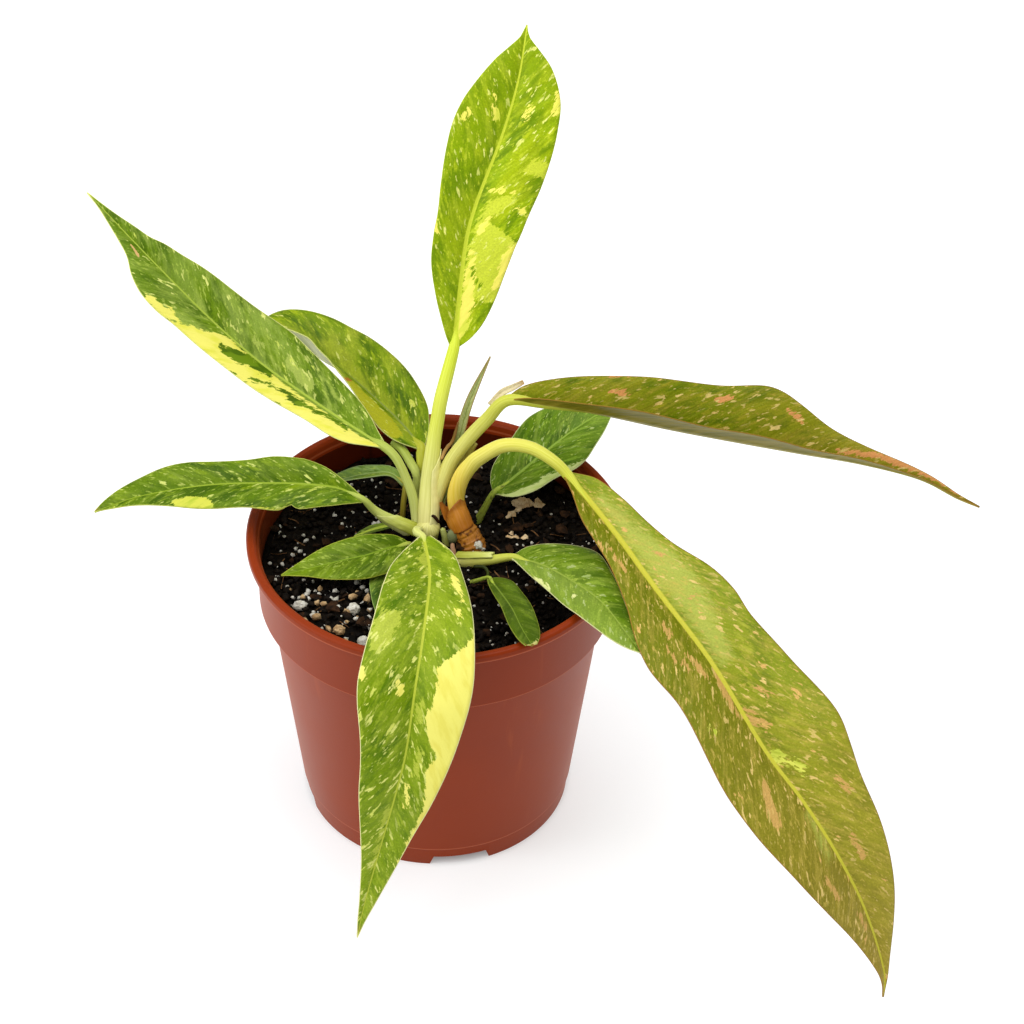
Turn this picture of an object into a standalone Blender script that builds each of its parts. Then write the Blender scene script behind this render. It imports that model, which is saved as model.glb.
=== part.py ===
# Potted philodendron with long variegated leaves, in a 15 cm plastic nursery pot.
# Blender 4.5 model at real size, in metres, Z up. Driving dimensions are in millimetres.
# Every length below is measured from the pot's axis at ground level, X to the right and -Y to the front.

import math

import bmesh
import bpy
from mathutils import Matrix, Vector, noise

MM = 0.001
CLEAR = 0.3                      # gap left between pieces that touch
POT_AXIS = (-37.0, 9.0)          # where the pot's axis stands, so that the whole sits centred on the origin

# pot
POT_HEIGHT = 131.2
LIP_RADIUS = 75.0
LIP_DEPTH = 3.5
COLLAR_TOP_RADIUS = 71.0
COLLAR_FOOT_RADIUS = 70.6
COLLAR_FOOT = 101.2
BODY_TOP_RADIUS = 66.5
BODY_FOOT_RADIUS = 55.5
SKIRT_HEIGHT = 9.5
BASE_RADIUS = 54.0
WALL = 1.2
FLOOR_BOTTOM = 5.0
NOTCH = (24.4, 4.6)              # width and height of the four drain notches
NOTCH_LEAN = 1.5                 # each cheek of a notch leans in this far at its top
NOTCH_TURN = 11.5                # degrees, the front notch stands a little to the right
DRAIN_HOLE_RADIUS = 3.5
DRAIN_HOLE_AT = 40.0
POT_SIDES = 48

# soil
SOIL_LEVEL = 116.5
SOIL_RINGS = 9
SOIL_SIDES = 36
SOIL_BUMP = 1.3
BUMP_SIZE = 9.0
MOUND = (-38.0, -42.0, 34.0, 6.5)    # x, y, reach and height of the heap at the front left
CROWN_MOUND = (0.0, 10.0, 18.0, 2.0)

# leaves
BLADE_THICK = 0.8
BLADE_ALONG = 16
BLADE_ACROSS = 4
RIPPLE_OFFSET = 1.3              # radians, so that the two margins don't wave in step
SPINE_SAMPLES = 96
STALK_SIDES = 8
STALK_RINGS = 9
STEM_RINGS = 5
STALK_END_SHARE = 0.45           # how much of a stalk's end radius is cleared where its leaf turns away

# Each blade: points along its midrib from base to tip, the direction of its right-hand side at base and tip,
# its half widths (place along the midrib from 0 to 1, left, right), how far each half is folded up in degrees
# (left and right at the base, left and right at the tip), and the ripple of its margins (height, waves).
BLADES = {
    "upright": {
        "spine": [(5.5, 48, 186), (9, 66, 219), (13, 76, 234), (23, 93, 256), (29, 107, 273),
                  (32, 121, 289)],
        "right": ((0.97, 0.0, -0.25), (0.97, 0.0, -0.25)),
        "widths": [(0, 1.6, 1.6), (0.03, 5, 5.5), (0.08, 7.5, 10), (0.16, 11, 14.5), (0.27, 13.5, 18),
                   (0.4, 15, 20.5), (0.55, 19, 22), (0.7, 20.5, 20.5), (0.82, 15.5, 17), (0.91, 8, 9),
                   (0.96, 2.5, 2.5), (1, 0.5, 0.5)],
        "fold": (16, 16, 8, 8), "ripple": (0.8, 3)},
    "upper_left": {
        "spine": [(-22, 26, 153), (-39, 36, 158), (-57, 46, 165), (-73, 54, 173), (-90, 62, 185),
                  (-105, 70, 197), (-123, 80, 212), (-141, 92, 226)],
        "right": ((0.45, 0.9, 0.1), (0.55, 0.8, 0.3)),
        "widths": [(0, 1.5, 1.5), (0.03, 5, 4), (0.08, 10, 8.5), (0.16, 12, 13), (0.27, 13, 16),
                   (0.4, 14.2, 18), (0.55, 15, 16), (0.7, 15.5, 11.5), (0.82, 6.5, 6), (0.91, 2.6, 2.7),
                   (1, 0.5, 0.5)],
        "fold": (14, 14, 10, 10), "ripple": (0.5, 3)},
    "upper_right": {
        "spine": [(26.7, 26, 176.6), (38, 25.5, 177), (64, 27, 170.7), (91, 30, 161.4), (117, 32, 154),
                  (144, 32, 148.3), (168, 30, 145), (191, 26, 141), (206, 22.5, 134.6), (215.3, 20, 132)],
        "right": ((0.0, -1.0, -0.1), (-0.2, -1.0, -0.2)),
        "widths": [(0, 1.6, 1.6), (0.03, 4.6, 3), (0.08, 7.9, 5.5), (0.16, 12.9, 10), (0.27, 17.6, 15.5),
                   (0.4, 20, 18), (0.55, 23.4, 17), (0.66, 13.3, 13), (0.75, 7, 9), (0.85, 3.6, 4),
                   (0.93, 2.2, 2), (1, 0.5, 0.5)],
        "fold": (36, 60, 36, 56), "ripple": (0.6, 4)},
    "big_right": {
        "spine": [(51, 6, 156), (69, -16, 146), (85, -40, 138), (106, -68, 126), (126, -95, 107),
                  (140, -109, 95), (153, -121, 80), (165, -130, 59), (174, -137, 33), (175, -140, 20)],
        "right": ((-0.74, -0.67, 0.0), (-0.7, -0.65, -0.3)),
        "widths": [(0, 2, 2), (0.03, 7.5, 5), (0.08, 11, 9.5), (0.16, 15.5, 12), (0.27, 22.5, 19.5),
                   (0.4, 26, 25), (0.55, 30, 27), (0.7, 23, 24.5), (0.82, 14.8, 15), (0.91, 6.2, 7),
                   (0.96, 2.6, 2.8), (1, 0.5, 0.5)],
        "fold": (16, 16, 12, 12), "ripple": (1.2, 4)},
    "front": {
        "spine": [(-4, -1, 129.6), (-2, -29, 134), (-3, -65, 138.5), (-6, -88, 126), (-9, -98, 105),
                  (-13, -103, 87), (-19, -106, 61), (-25, -110, 35), (-28, -112, 18)],
        "right": ((-1.0, -0.05, 0.1), (-1.0, 0.0, 0.1)),
        "widths": [(0, 1.6, 1.6), (0.03, 6, 7), (0.08, 10.5, 12), (0.16, 14.5, 16.5), (0.27, 18, 19.5),
                   (0.4, 21.7, 22), (0.55, 18, 18), (0.7, 12.2, 12), (0.82, 7.3, 6), (0.91, 3.6, 2.8),
                   (1, 0.5, 0.5)],
        "fold": (12, 12, 12, 12), "ripple": (0.7, 4)},
    "lower_left": {
        "spine": [(-29, 7, 141), (-39, 9, 145), (-54, 10, 146), (-70, 10, 146), (-85, 9, 146),
                  (-101, 7, 145), (-117, 4, 143), (-127, 1, 141), (-134, -2, 140)],
        "right": ((0.1, 0.9, 0.45), (0.0, 1.0, 0.1)),
        "widths": [(0, 1.3, 1.3), (0.04, 5, 2.5), (0.08, 7.5, 4), (0.16, 10.5, 7.5), (0.27, 12, 10.5),
                   (0.4, 13, 10.5), (0.55, 13, 10.4), (0.7, 10.5, 10.2), (0.82, 6.4, 8), (0.91, 2.8, 5),
                   (1, 0.5, 0.5)],
        "fold": (14, 14, 10, 10), "ripple": (0.6, 3)},
    "narrow_back_left": {
        "spine": [(-13.5, 25.2, 134.2), (-19, 28, 137.5), (-26, 28, 137.5), (-34, 28, 135.5),
                  (-42, 29, 132), (-50, 30, 128)],
        "right": ((0.15, 0.97, -0.05), (0.15, 0.97, -0.05)),
        "widths": [(0, 1, 1), (0.12, 2.8, 2.8), (0.35, 3.8, 4.2), (0.6, 4, 4.6), (0.85, 2.6, 3),
                   (1, 0.5, 0.5)],
        "fold": (12, 12, 12, 12), "ripple": (0.3, 2)},
    "front_left_small": {
        "spine": [(-11, 2, 122.6), (-18, -4, 126), (-27, -11, 128), (-37, -16, 129), (-49, -21, 129),
                  (-60, -23, 127)],
        "right": ((-0.4, 0.9, 0.3), (-0.4, 0.9, 0.1)),
        "widths": [(0, 1, 1), (0.04, 2, 2.5), (0.1, 4.5, 5.2), (0.18, 7.5, 7.2), (0.3, 10, 9.2),
                   (0.42, 11, 9.9), (0.55, 10.6, 9.3), (0.7, 8, 8), (0.83, 3.9, 5.2), (0.92, 1.6, 2.6),
                   (1, 0.5, 0.5)],
        "fold": (10, 10, 8, 8), "ripple": (0.3, 2)},
    "sliver": {
        "spine": [(-17, 16, 121), (-21, 13, 122.3), (-26, 10, 123), (-33, 6.5, 122.5)],
        "right": ((-0.5, 0.8, 0.2), (-0.5, 0.8, 0.2)),
        "widths": [(0, 0.8, 0.8), (0.2, 1.8, 2), (0.5, 2.4, 2.8), (0.8, 1.6, 1.8), (1, 0.5, 0.5)],
        "fold": (10, 10, 10, 10), "ripple": (0, 1)},
    "hidden_front": {
        "spine": [(-11, -2, 121), (-15, -9, 122), (-19, -19, 123), (-21, -30, 122.5), (-22, -40, 121.5)],
        "right": ((-1.0, -0.2, 0.2), (-1.0, -0.1, 0.2)),
        "widths": [(0, 0.9, 0.9), (0.12, 4, 4), (0.35, 6.5, 6.5), (0.6, 6, 6), (0.82, 3.2, 3.2),
                   (1, 0.5, 0.5)],
        "fold": (10, 10, 8, 8), "ripple": (0.2, 2)},
    "front_right_small": {
        "spine": [(21, -18, 123), (25, -30, 127.1), (30, -43.1, 129.8), (33.9, -56.8, 131.9),
                  (37.9, -67.2, 132.6)],
        "right": ((-0.9, -0.4, 0.1), (-0.9, -0.4, 0.1)),
        "widths": [(0, 0.8, 0.8), (0.04, 3, 1.2), (0.1, 5, 2.2), (0.2, 6.8, 3), (0.4, 7.4, 4),
                   (0.6, 7.2, 4.6), (0.8, 6.6, 4.6), (0.92, 5, 4.3), (0.98, 3, 3.4), (1, 2.2, 2.8)],
        "fold": (12, 12, 8, 8), "ripple": (0.3, 2)},
    "right_low": {
        "spine": [(30, -6, 124), (41, -15, 128), (52, -28, 132), (64, -44, 135), (73, -62, 136),
                  (79, -73, 135)],
        "right": ((-0.6, -0.75, -0.1), (-0.7, -0.7, -0.2)),
        "widths": [(0, 1.2, 1.2), (0.03, 5, 3), (0.08, 8.5, 6), (0.16, 12, 9), (0.27, 15, 11),
                   (0.4, 15, 12), (0.55, 12, 12), (0.7, 7.8, 10.6), (0.82, 5, 7.6), (0.91, 2.8, 4.2),
                   (1, 0.5, 0.5)],
        "fold": (12, 12, 8, 8), "ripple": (0.4, 3)},
    "back_right": {
        "spine": [(22, 26, 130), (30, 32, 133), (42, 42, 138), (54, 52, 142), (66, 62, 144),
                  (74, 68, 143)],
        "right": ((0.55, -0.82, -0.05), (0.55, -0.82, 0.0)),
        "widths": [(0, 1, 1), (0.03, 5.4, 6.4), (0.08, 9.4, 10.6), (0.16, 12, 13), (0.27, 14.5, 15.5),
                   (0.4, 17, 18), (0.55, 17.5, 17), (0.7, 15, 13.5), (0.82, 10.5, 10), (0.92, 5, 5),
                   (1, 0.6, 0.6)],
        "fold": (10, 10, 8, 8), "ripple": (0.4, 3)},
    "back_left": {
        "spine": [(-7, 35, 145), (-15, 47, 147), (-24.5, 58, 149.3), (-33, 67, 151.3), (-40.5, 75, 152.2),
                  (-47.3, 80, 153), (-55, 85, 155), (-68, 89, 158), (-81, 90, 155.5)],
        "right": ((0.75, 0.65, 0.1), (0.55, 0.8, 0.1)),
        "widths": [(0, 1.3, 1.3), (0.03, 4.9, 4.6), (0.08, 9.5, 8.4), (0.16, 12.6, 13.2),
                   (0.27, 13, 16.6), (0.4, 13, 18.4), (0.55, 13, 18.8), (0.7, 12, 17.3), (0.82, 8, 14.8),
                   (0.92, 4.5, 10), (1, 0.5, 0.5)],
        "fold": (10, 14, 100, 14), "ripple": (0.4, 3)},
}

# Each stalk: its points from the crown outwards and its radii at those points.
STALKS = {
    "upright": ([(-3, 12, 126.5), (-3, 20, 138), (-1.5, 29, 151), (2.4, 39, 169), (5.5, 48, 186)],
                [4.9, 4.2, 3.1, 2.2, 1.95]),
    "upper_right": ([(-2, 20, 124), (-0.5, 22.5, 132), (3.3, 24.5, 142.5), (9.2, 26, 153.7),
                     (16.6, 26.5, 165.6), (27, 26, 177)], [3.4, 3.9, 3.8, 3.4, 2.9, 2.4]),
    "big_right": ([(7.3, 15.5, 132.5), (9, 17, 141), (15, 17, 153.3), (25.7, 16, 161.3), (36, 13, 162.8),
                   (45, 9, 160.2), (51, 6, 156)], [2.8, 2.7, 2.75, 2.8, 2.6, 2.4, 2.1]),
    "upper_left": ([(-8, 17, 126), (-12, 20, 141), (-16, 23, 149), (-22, 26, 153)], [3.2, 2.8, 2.3, 2]),
    "lower_left": ([(-10, 11, 122), (-19, 9, 129), (-25, 8, 135), (-29, 7, 141)], [3.6, 3, 2.1, 1.6]),
    "back_left": ([(-7, 25, 119), (-7.2, 30, 132), (-7, 35, 145)], [2.4, 2.1, 1.8]),
    "hidden_back": ([(-11.5, 25, 117), (-12, 31, 130), (-14, 36, 137), (-19, 40, 143)], [2, 2, 2, 1.9]),
    "narrow_back_left": ([(-14.5, 21, 114), (-14, 22, 126), (-13.5, 25, 134)], [1.3, 1.2, 1]),
    "front": ([(-10, 7, 121), (-10.2, 5, 126), (-8.5, 3, 129.6), (-4.3, -0.9, 129.7)],
              [2.2, 2.1, 2, 1.6]),
    "front_left_small": ([(-8.5, 3, 113), (-9.5, 2.4, 119.5), (-11, 2, 122.6)], [1.5, 1.4, 1.2]),
    "sliver": ([(-12, 18, 117), (-14.5, 18, 119.8), (-17, 16, 121)], [1.1, 1, 0.9]),
    "hidden_front": ([(-6.5, 0.5, 116.5), (-8.8, -0.8, 119.5), (-11, -2, 121)], [1.2, 1.1, 1]),
    "right_low": ([(7.5, -0.5, 117.5), (17, -4, 121.7), (30, -6, 124)], [2.5, 2.3, 1.7]),
    "front_right_small": ([(8, -14, 115), (12, -18, 120), (17, -18.4, 122.6), (20.6, -17, 123.2)],
                          [0.9, 0.8, 0.75, 0.75]),
    "back_right": ([(14, 22.5, 114), (18, 24.5, 122), (22, 26, 130)], [1.7, 1.4, 1.1]),
}

# materials: colour, roughness
CREAM_GREEN = ("petiole_pale_green", (0.62, 0.68, 0.28), 0.45)
YELLOW_STALK = ("petiole_yellow", (0.72, 0.62, 0.12), 0.42)
FRESH_GREEN = ("petiole_green", (0.36, 0.5, 0.1), 0.45)
LEAF_COLOURS = {
    "upright": ("leaf_lime", (0.28, 0.45, 0.03), 0.35),
    "upper_right": ("leaf_olive", (0.2, 0.22, 0.03), 0.35),
    "big_right": ("leaf_bronze", (0.3, 0.32, 0.05), 0.35),
}
LEAF_GREEN = ("leaf_green", (0.12, 0.27, 0.03), 0.35)
TERRACOTTA = ("pot_terracotta_plastic", (0.31, 0.075, 0.035), 0.4)
SOIL_DARK = ("potting_mix", (0.02, 0.013, 0.009), 0.95)
STEM_BROWN = ("old_stem_orange_brown", (0.42, 0.17, 0.03), 0.6)
SHEATH_PAPER = ("sheath_papery_orange", (0.55, 0.24, 0.05), 0.6)
SHEATH_TAN = ("sheath_tan", (0.55, 0.45, 0.24), 0.6)
GREY_GREEN = ("sheath_grey_green", (0.3, 0.36, 0.2), 0.5)
PERLITE = ("perlite_white", (0.75, 0.7, 0.62), 0.9)
BARK = ("bark_chip", (0.45, 0.28, 0.13), 0.9)


def clearScene():
    for obj in list(bpy.data.objects):
        bpy.data.objects.remove(obj, do_unlink=True)


def material(spec):
    name, colour, roughness = spec
    found = bpy.data.materials.get(name)
    if found:
        return found
    made = bpy.data.materials.new(name)
    made.use_nodes = True
    shader = made.node_tree.nodes["Principled BSDF"]
    shader.inputs["Base Color"].default_value = (*colour, 1)
    shader.inputs["Roughness"].default_value = roughness
    shader.inputs["Metallic"].default_value = 0
    made.diffuse_color = (*colour, 1)
    return made


def place(name, bm, spec=None, smooth=True):
    """Moves a mesh made round the pot's axis, in millimetres, to its place in the frame, in metres."""
    bmesh.ops.recalc_face_normals(bm, faces=bm.faces[:])
    bmesh.ops.transform(bm, matrix=Matrix.Translation((*POT_AXIS, 0)), verts=bm.verts[:])
    bmesh.ops.transform(bm, matrix=Matrix.Scale(MM, 4), verts=bm.verts[:])
    mesh = bpy.data.meshes.new(name)
    bm.to_mesh(mesh)
    bm.free()
    obj = bpy.data.objects.new(name, mesh)
    bpy.context.scene.collection.objects.link(obj)
    if smooth:
        mesh.shade_smooth()
        mesh.set_sharp_from_angle(angle=math.radians(40))
    if spec:
        mesh.materials.append(material(spec))
    else:
        obj.hide_render = True
        obj.display_type = 'WIRE'
    return obj


def cut(target, cutter):
    made = target.modifiers.new("Cut " + cutter.name, 'BOOLEAN')
    made.operation = 'DIFFERENCE'
    made.solver = 'EXACT'
    made.object = cutter


class Spine:
    """A smooth curve through a few points, read by its share of length from 0 to 1."""

    def __init__(self, points):
        pts = [Vector(p) for p in points]
        pts = [2 * pts[0] - pts[1]] + pts + [2 * pts[-1] - pts[-2]]
        spans = len(pts) - 3
        steps = max(4, SPINE_SAMPLES // spans)
        self.points = []
        for i in range(spans):
            a, b, c, d = pts[i:i + 4]
            for k in range(steps + (i == spans - 1)):
                u = k / steps
                self.points.append(0.5 * ((2 * b) + (c - a) * u + (2 * a - 5 * b + 4 * c - d) * u ** 2
                                          + (3 * b - a - 3 * c + d) * u ** 3))
        self.lengths = [0.0]
        for p, q in zip(self.points, self.points[1:]):
            self.lengths.append(self.lengths[-1] + (q - p).length)
        self.length = self.lengths[-1]

    def at(self, t):
        want = min(max(t, 0.0), 1.0) * self.length
        i = 0
        while i < len(self.lengths) - 2 and self.lengths[i + 1] < want:
            i += 1
        span = self.lengths[i + 1] - self.lengths[i]
        share = (want - self.lengths[i]) / span
        return self.points[i].lerp(self.points[i + 1], share)

    def tangent(self, t):
        step = 0.02
        return (self.at(t + step) - self.at(t - step)).normalized()


def between(stations, t):
    """Values read between stations (t, value, ...), eased so that outlines stay smooth."""
    for low, high in zip(stations, stations[1:]):
        if t <= high[0]:
            u = (t - low[0]) / (high[0] - low[0])
            return [a + (b - a) * u for a, b in zip(low[1:], high[1:])]
    return list(stations[-1][1:])


def bladePoint(blade, spine, t, side):
    """A point of the blade: t along the midrib, side from -1 at the left margin to 1 at the right."""
    tangent = spine.tangent(t)
    right = Vector(blade["right"][0]).lerp(Vector(blade["right"][1]), t)
    right = (right - right.dot(tangent) * tangent).normalized()
    up = right.cross(tangent)
    left, rightHalf = between(blade["widths"], t)
    half = rightHalf if side > 0 else left
    base, tip = blade["fold"][side > 0], blade["fold"][2 + (side > 0)]
    fold = math.radians(base + (tip - base) * t)
    height, waves = blade["ripple"]
    out = abs(side) * half
    lift = out * math.sin(fold)
    phase = RIPPLE_OFFSET if side > 0 else 0
    lift += height * side ** 2 * math.sin(2 * math.pi * waves * t + phase) * math.sin(math.pi * t)
    return spine.at(t) + right * math.copysign(out * math.cos(fold), side) + up * lift


def makeBlade(name, blade):
    spine = Spine(blade["spine"])
    bm = bmesh.new()
    along = BLADE_ALONG if spine.length > 50 else BLADE_ALONG // 2
    bmesh.ops.create_grid(bm, x_segments=along, y_segments=BLADE_ACROSS, size=1)
    for vert in bm.verts:
        share = (vert.co.x + 1) / 2
        t = share ** 1.2 if share < 1 else 1
        vert.co = bladePoint(blade, spine, t, vert.co.y)
    spec = LEAF_COLOURS.get(name, LEAF_GREEN)
    obj = place(name + "_leaf", bm, spec)
    thick = obj.modifiers.new("Thickness", 'SOLIDIFY')
    thick.thickness = BLADE_THICK * MM
    thick.offset = 0
    thick.use_even_offset = False
    return obj


def joinLoops(bm, loops):
    """Faces between neighbouring loops of points; a loop of one point closes the shape in a fan."""
    for low, high in zip(loops, loops[1:]):
        count = max(len(low), len(high))
        for k in range(count):
            n = (k + 1) % count
            if len(low) == 1:
                bm.faces.new((low[0], high[n], high[k]))
            elif len(high) == 1:
                bm.faces.new((low[k], low[n], high[0]))
            else:
                bm.faces.new((low[k], low[n], high[n], high[k]))


def stalkMesh(points, radii, grow=0.0, sides=STALK_SIDES, rings=STALK_RINGS, trim=0.0):
    """A round tapering stalk along a smooth curve, its ends closed. Grown all round, it makes its own room."""
    spine = Spine(points)
    stations = [(i / (len(radii) - 1), r) for i, r in enumerate(radii)]
    bm = bmesh.new()
    loops = []
    side = None
    end = 1 - trim / spine.length
    for i in range(rings):
        t = i / (rings - 1) * end
        tangent = spine.tangent(t)
        side = tangent.orthogonal() if side is None else side
        side = (side - side.dot(tangent) * tangent).normalized()
        other = tangent.cross(side)
        centre = spine.at(t)
        if grow and i == 0:
            centre -= tangent * grow
        if grow and i == rings - 1:
            centre += tangent * grow
        radius = between(stations, t)[0] + grow
        ring = []
        for k in range(sides):
            a = 2 * math.pi * k / sides
            ring.append(bm.verts.new(centre + radius * (math.cos(a) * side + math.sin(a) * other)))
        loops.append(ring)
    joinLoops(bm, loops)
    bm.faces.new(reversed(loops[0]))
    bm.faces.new(loops[-1])
    return bm


def makeStalk(name, spec):
    """A petiole, ending just short of its leaf however the two meet."""
    points, radii = STALKS[name]
    trim = 2 * CLEAR
    if name in BLADES:
        turn = Spine(points).tangent(1).angle(Spine(BLADES[name]["spine"]).tangent(0))
        trim += STALK_END_SHARE * radii[-1] * math.sin(turn)
    return place(name + "_petiole", stalkMesh(points, radii, trim=trim), spec)


def stalkRoom(name):
    points, radii = STALKS[name]
    return place(name + "_room", stalkMesh(points, radii, grow=CLEAR))


def turned(profile, sides):
    """A closed round body from its half section: (radius, height) points that start and end on the axis."""
    bm = bmesh.new()
    loops = []
    for radius, height in profile:
        around = [2 * math.pi * k / sides for k in range(sides)] if radius else [0.0]
        loops.append([bm.verts.new((radius * math.cos(a), radius * math.sin(a), height)) for a in around])
    joinLoops(bm, loops)
    return bm


def innerRadius(height):
    """Radius of the pot's inside at this height."""
    if height >= COLLAR_FOOT + WALL:
        share = (height - COLLAR_FOOT) / (POT_HEIGHT - LIP_DEPTH - COLLAR_FOOT)
        return COLLAR_FOOT_RADIUS + (COLLAR_TOP_RADIUS - COLLAR_FOOT_RADIUS) * share - WALL
    share = (height - SKIRT_HEIGHT) / (COLLAR_FOOT - SKIRT_HEIGHT)
    return BODY_FOOT_RADIUS + (BODY_TOP_RADIUS - BODY_FOOT_RADIUS) * max(share, 0) - WALL


def makePot():
    top = POT_HEIGHT
    foot = COLLAR_FOOT
    lipFoot = top - LIP_DEPTH
    profile = [
        (0, FLOOR_BOTTOM), (BASE_RADIUS - 2 * WALL, FLOOR_BOTTOM), (BASE_RADIUS - 2 * WALL + 0.3, 0),
        (BASE_RADIUS, 0), (BODY_FOOT_RADIUS - 0.6, SKIRT_HEIGHT - 0.4), (BODY_FOOT_RADIUS, SKIRT_HEIGHT),
        (BODY_TOP_RADIUS, foot), (COLLAR_FOOT_RADIUS, foot + 0.3), (COLLAR_TOP_RADIUS, lipFoot),
        (LIP_RADIUS - 0.3, lipFoot), (LIP_RADIUS, lipFoot + 0.4), (LIP_RADIUS, top - 0.6),
        (LIP_RADIUS - 0.6, top), (LIP_RADIUS - 2.8, top), (LIP_RADIUS - 3.6, top - 0.8),
        (COLLAR_TOP_RADIUS - WALL, lipFoot - 1), (COLLAR_FOOT_RADIUS - WALL, foot + WALL),
        (BODY_TOP_RADIUS - WALL, foot), (BODY_FOOT_RADIUS - WALL, SKIRT_HEIGHT),
        (BODY_FOOT_RADIUS - WALL - 0.4, FLOOR_BOTTOM + WALL), (0, FLOOR_BOTTOM + WALL)]
    pot = place("pot", turned(profile, POT_SIDES), TERRACOTTA)
    for quarter in range(4):
        turn = math.radians(NOTCH_TURN - 90 + 90 * quarter)
        cut(pot, notchCutter(turn))
        cut(pot, drainCutter(turn))


def notchCutter(turn):
    """A block over one notch in the pot's lower edge, at this angle round it, narrower at its top."""
    width, height = NOTCH
    bm = bmesh.new()
    bmesh.ops.create_cube(bm, size=2)
    for vert in bm.verts:
        up = vert.co.z > 0
        half = width / 2 - (NOTCH_LEAN if up else -NOTCH_LEAN * 2 / height)
        vert.co = (BASE_RADIUS + 4 * vert.co.x, half * vert.co.y, height if up else -2)
    bmesh.ops.rotate(bm, verts=bm.verts[:], matrix=Matrix.Rotation(turn, 3, 'Z'))
    return place("notch_cutter", bm, smooth=False)


def drainCutter(turn):
    """A short rod through the pot's floor, at this angle round it."""
    bm = bmesh.new()
    bmesh.ops.create_cone(bm, segments=12, radius1=DRAIN_HOLE_RADIUS, radius2=DRAIN_HOLE_RADIUS,
                          depth=5 * WALL, cap_ends=True)
    x, y = DRAIN_HOLE_AT * math.cos(turn), DRAIN_HOLE_AT * math.sin(turn)
    bmesh.ops.translate(bm, verts=bm.verts[:], vec=(x, y, FLOOR_BOTTOM + WALL / 2))
    return place("drain_cutter", bm, smooth=False)


def soilHeight(x, y):
    mx, my, reach, height = MOUND
    heap = height * math.exp(-((x - mx) ** 2 + (y - my) ** 2) / (reach / 1.5) ** 2)
    cx, cy, crownReach, crownHeight = CROWN_MOUND
    crown = crownHeight * math.exp(-((x - cx) ** 2 + (y - cy) ** 2) / crownReach ** 2)
    bump = SOIL_BUMP * noise.noise(Vector((x, y, 3)) / BUMP_SIZE)
    return SOIL_LEVEL + heap + crown + bump


def makeSoil():
    """The potting mix: an uneven top in rings, then sides that follow the pot's inside down to its floor."""
    bottom = FLOOR_BOTTOM + WALL + CLEAR
    ledge = COLLAR_FOOT + WALL + CLEAR
    edge = innerRadius(SOIL_LEVEL) - 2 * CLEAR
    rings = [(edge * i / SOIL_RINGS, None) for i in range(1, SOIL_RINGS + 1)]
    rings.append((innerRadius(ledge) - 2 * CLEAR, ledge))
    rings.append((innerRadius(COLLAR_FOOT) - 2 * CLEAR, COLLAR_FOOT))
    rings.append((innerRadius(SKIRT_HEIGHT) - 3 * CLEAR, bottom))
    bm = bmesh.new()
    loops = [[bm.verts.new((0, 0, soilHeight(0, 0)))]]
    for radius, height in rings:
        loop = []
        for k in range(SOIL_SIDES):
            a = 2 * math.pi * k / SOIL_SIDES
            x, y = radius * math.cos(a), radius * math.sin(a)
            loop.append(bm.verts.new((x, y, soilHeight(x, y) if height is None else height)))
        loops.append(loop)
    loops.append([bm.verts.new((0, 0, bottom))])
    joinLoops(bm, loops)
    return place("soil", bm, SOIL_DARK, smooth=False)


# Stems and stubs: points and radii, then sides and shade
CROWN = ([(-3, 13, 98), (-3, 13, 112), (-4, 12.5, 120), (-4.5, 11.5, 125.5)], [5.5, 6.2, 6.4, 4.8])
OLD_STEM = ([(14, 7, 98), (15, 7, 110), (13.8, 8, 117), (11.6, 10.6, 123.2)], [4.5, 5.4, 5.2, 4.2])
OLD_SHEATH = ([(11.4, 10.9, 123.7), (9.4, 13.4, 127.6), (7.6, 15.8, 131.4)], [4.4, 4.5, 4.9])
PALE_STUB = ([(4.6, 6.5, 113), (3.9, 7.5, 119), (3.7, 9.5, 123.5)], [1.4, 1.3, 1])
ROOT_STUB = ([(5.4, -4, 113), (5.2, -2, 118), (5, 0.6, 121.5)], [1.1, 1.0, 0.9])
LOW_SHEATH = ([(11.5, -1.5, 124.4), (17, -4, 126), (23, -5.5, 127)], [1.2, 1.4, 1.1])
STEMS = {
    "main_stem": (CROWN, 10, CREAM_GREEN),
    "old_stem": (OLD_STEM, 10, STEM_BROWN),
    "old_stem_sheath": (OLD_SHEATH, 12, SHEATH_PAPER),
    "pale_stub": (PALE_STUB, 6, CREAM_GREEN),
    "root_stub": (ROOT_STUB, 6, BARK),
    "right_low_sheath": (LOW_SHEATH, 6, CREAM_GREEN),
}
STALK_COLOURS = {"big_right": YELLOW_STALK, "upright": CREAM_GREEN, "upper_right": CREAM_GREEN}

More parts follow.
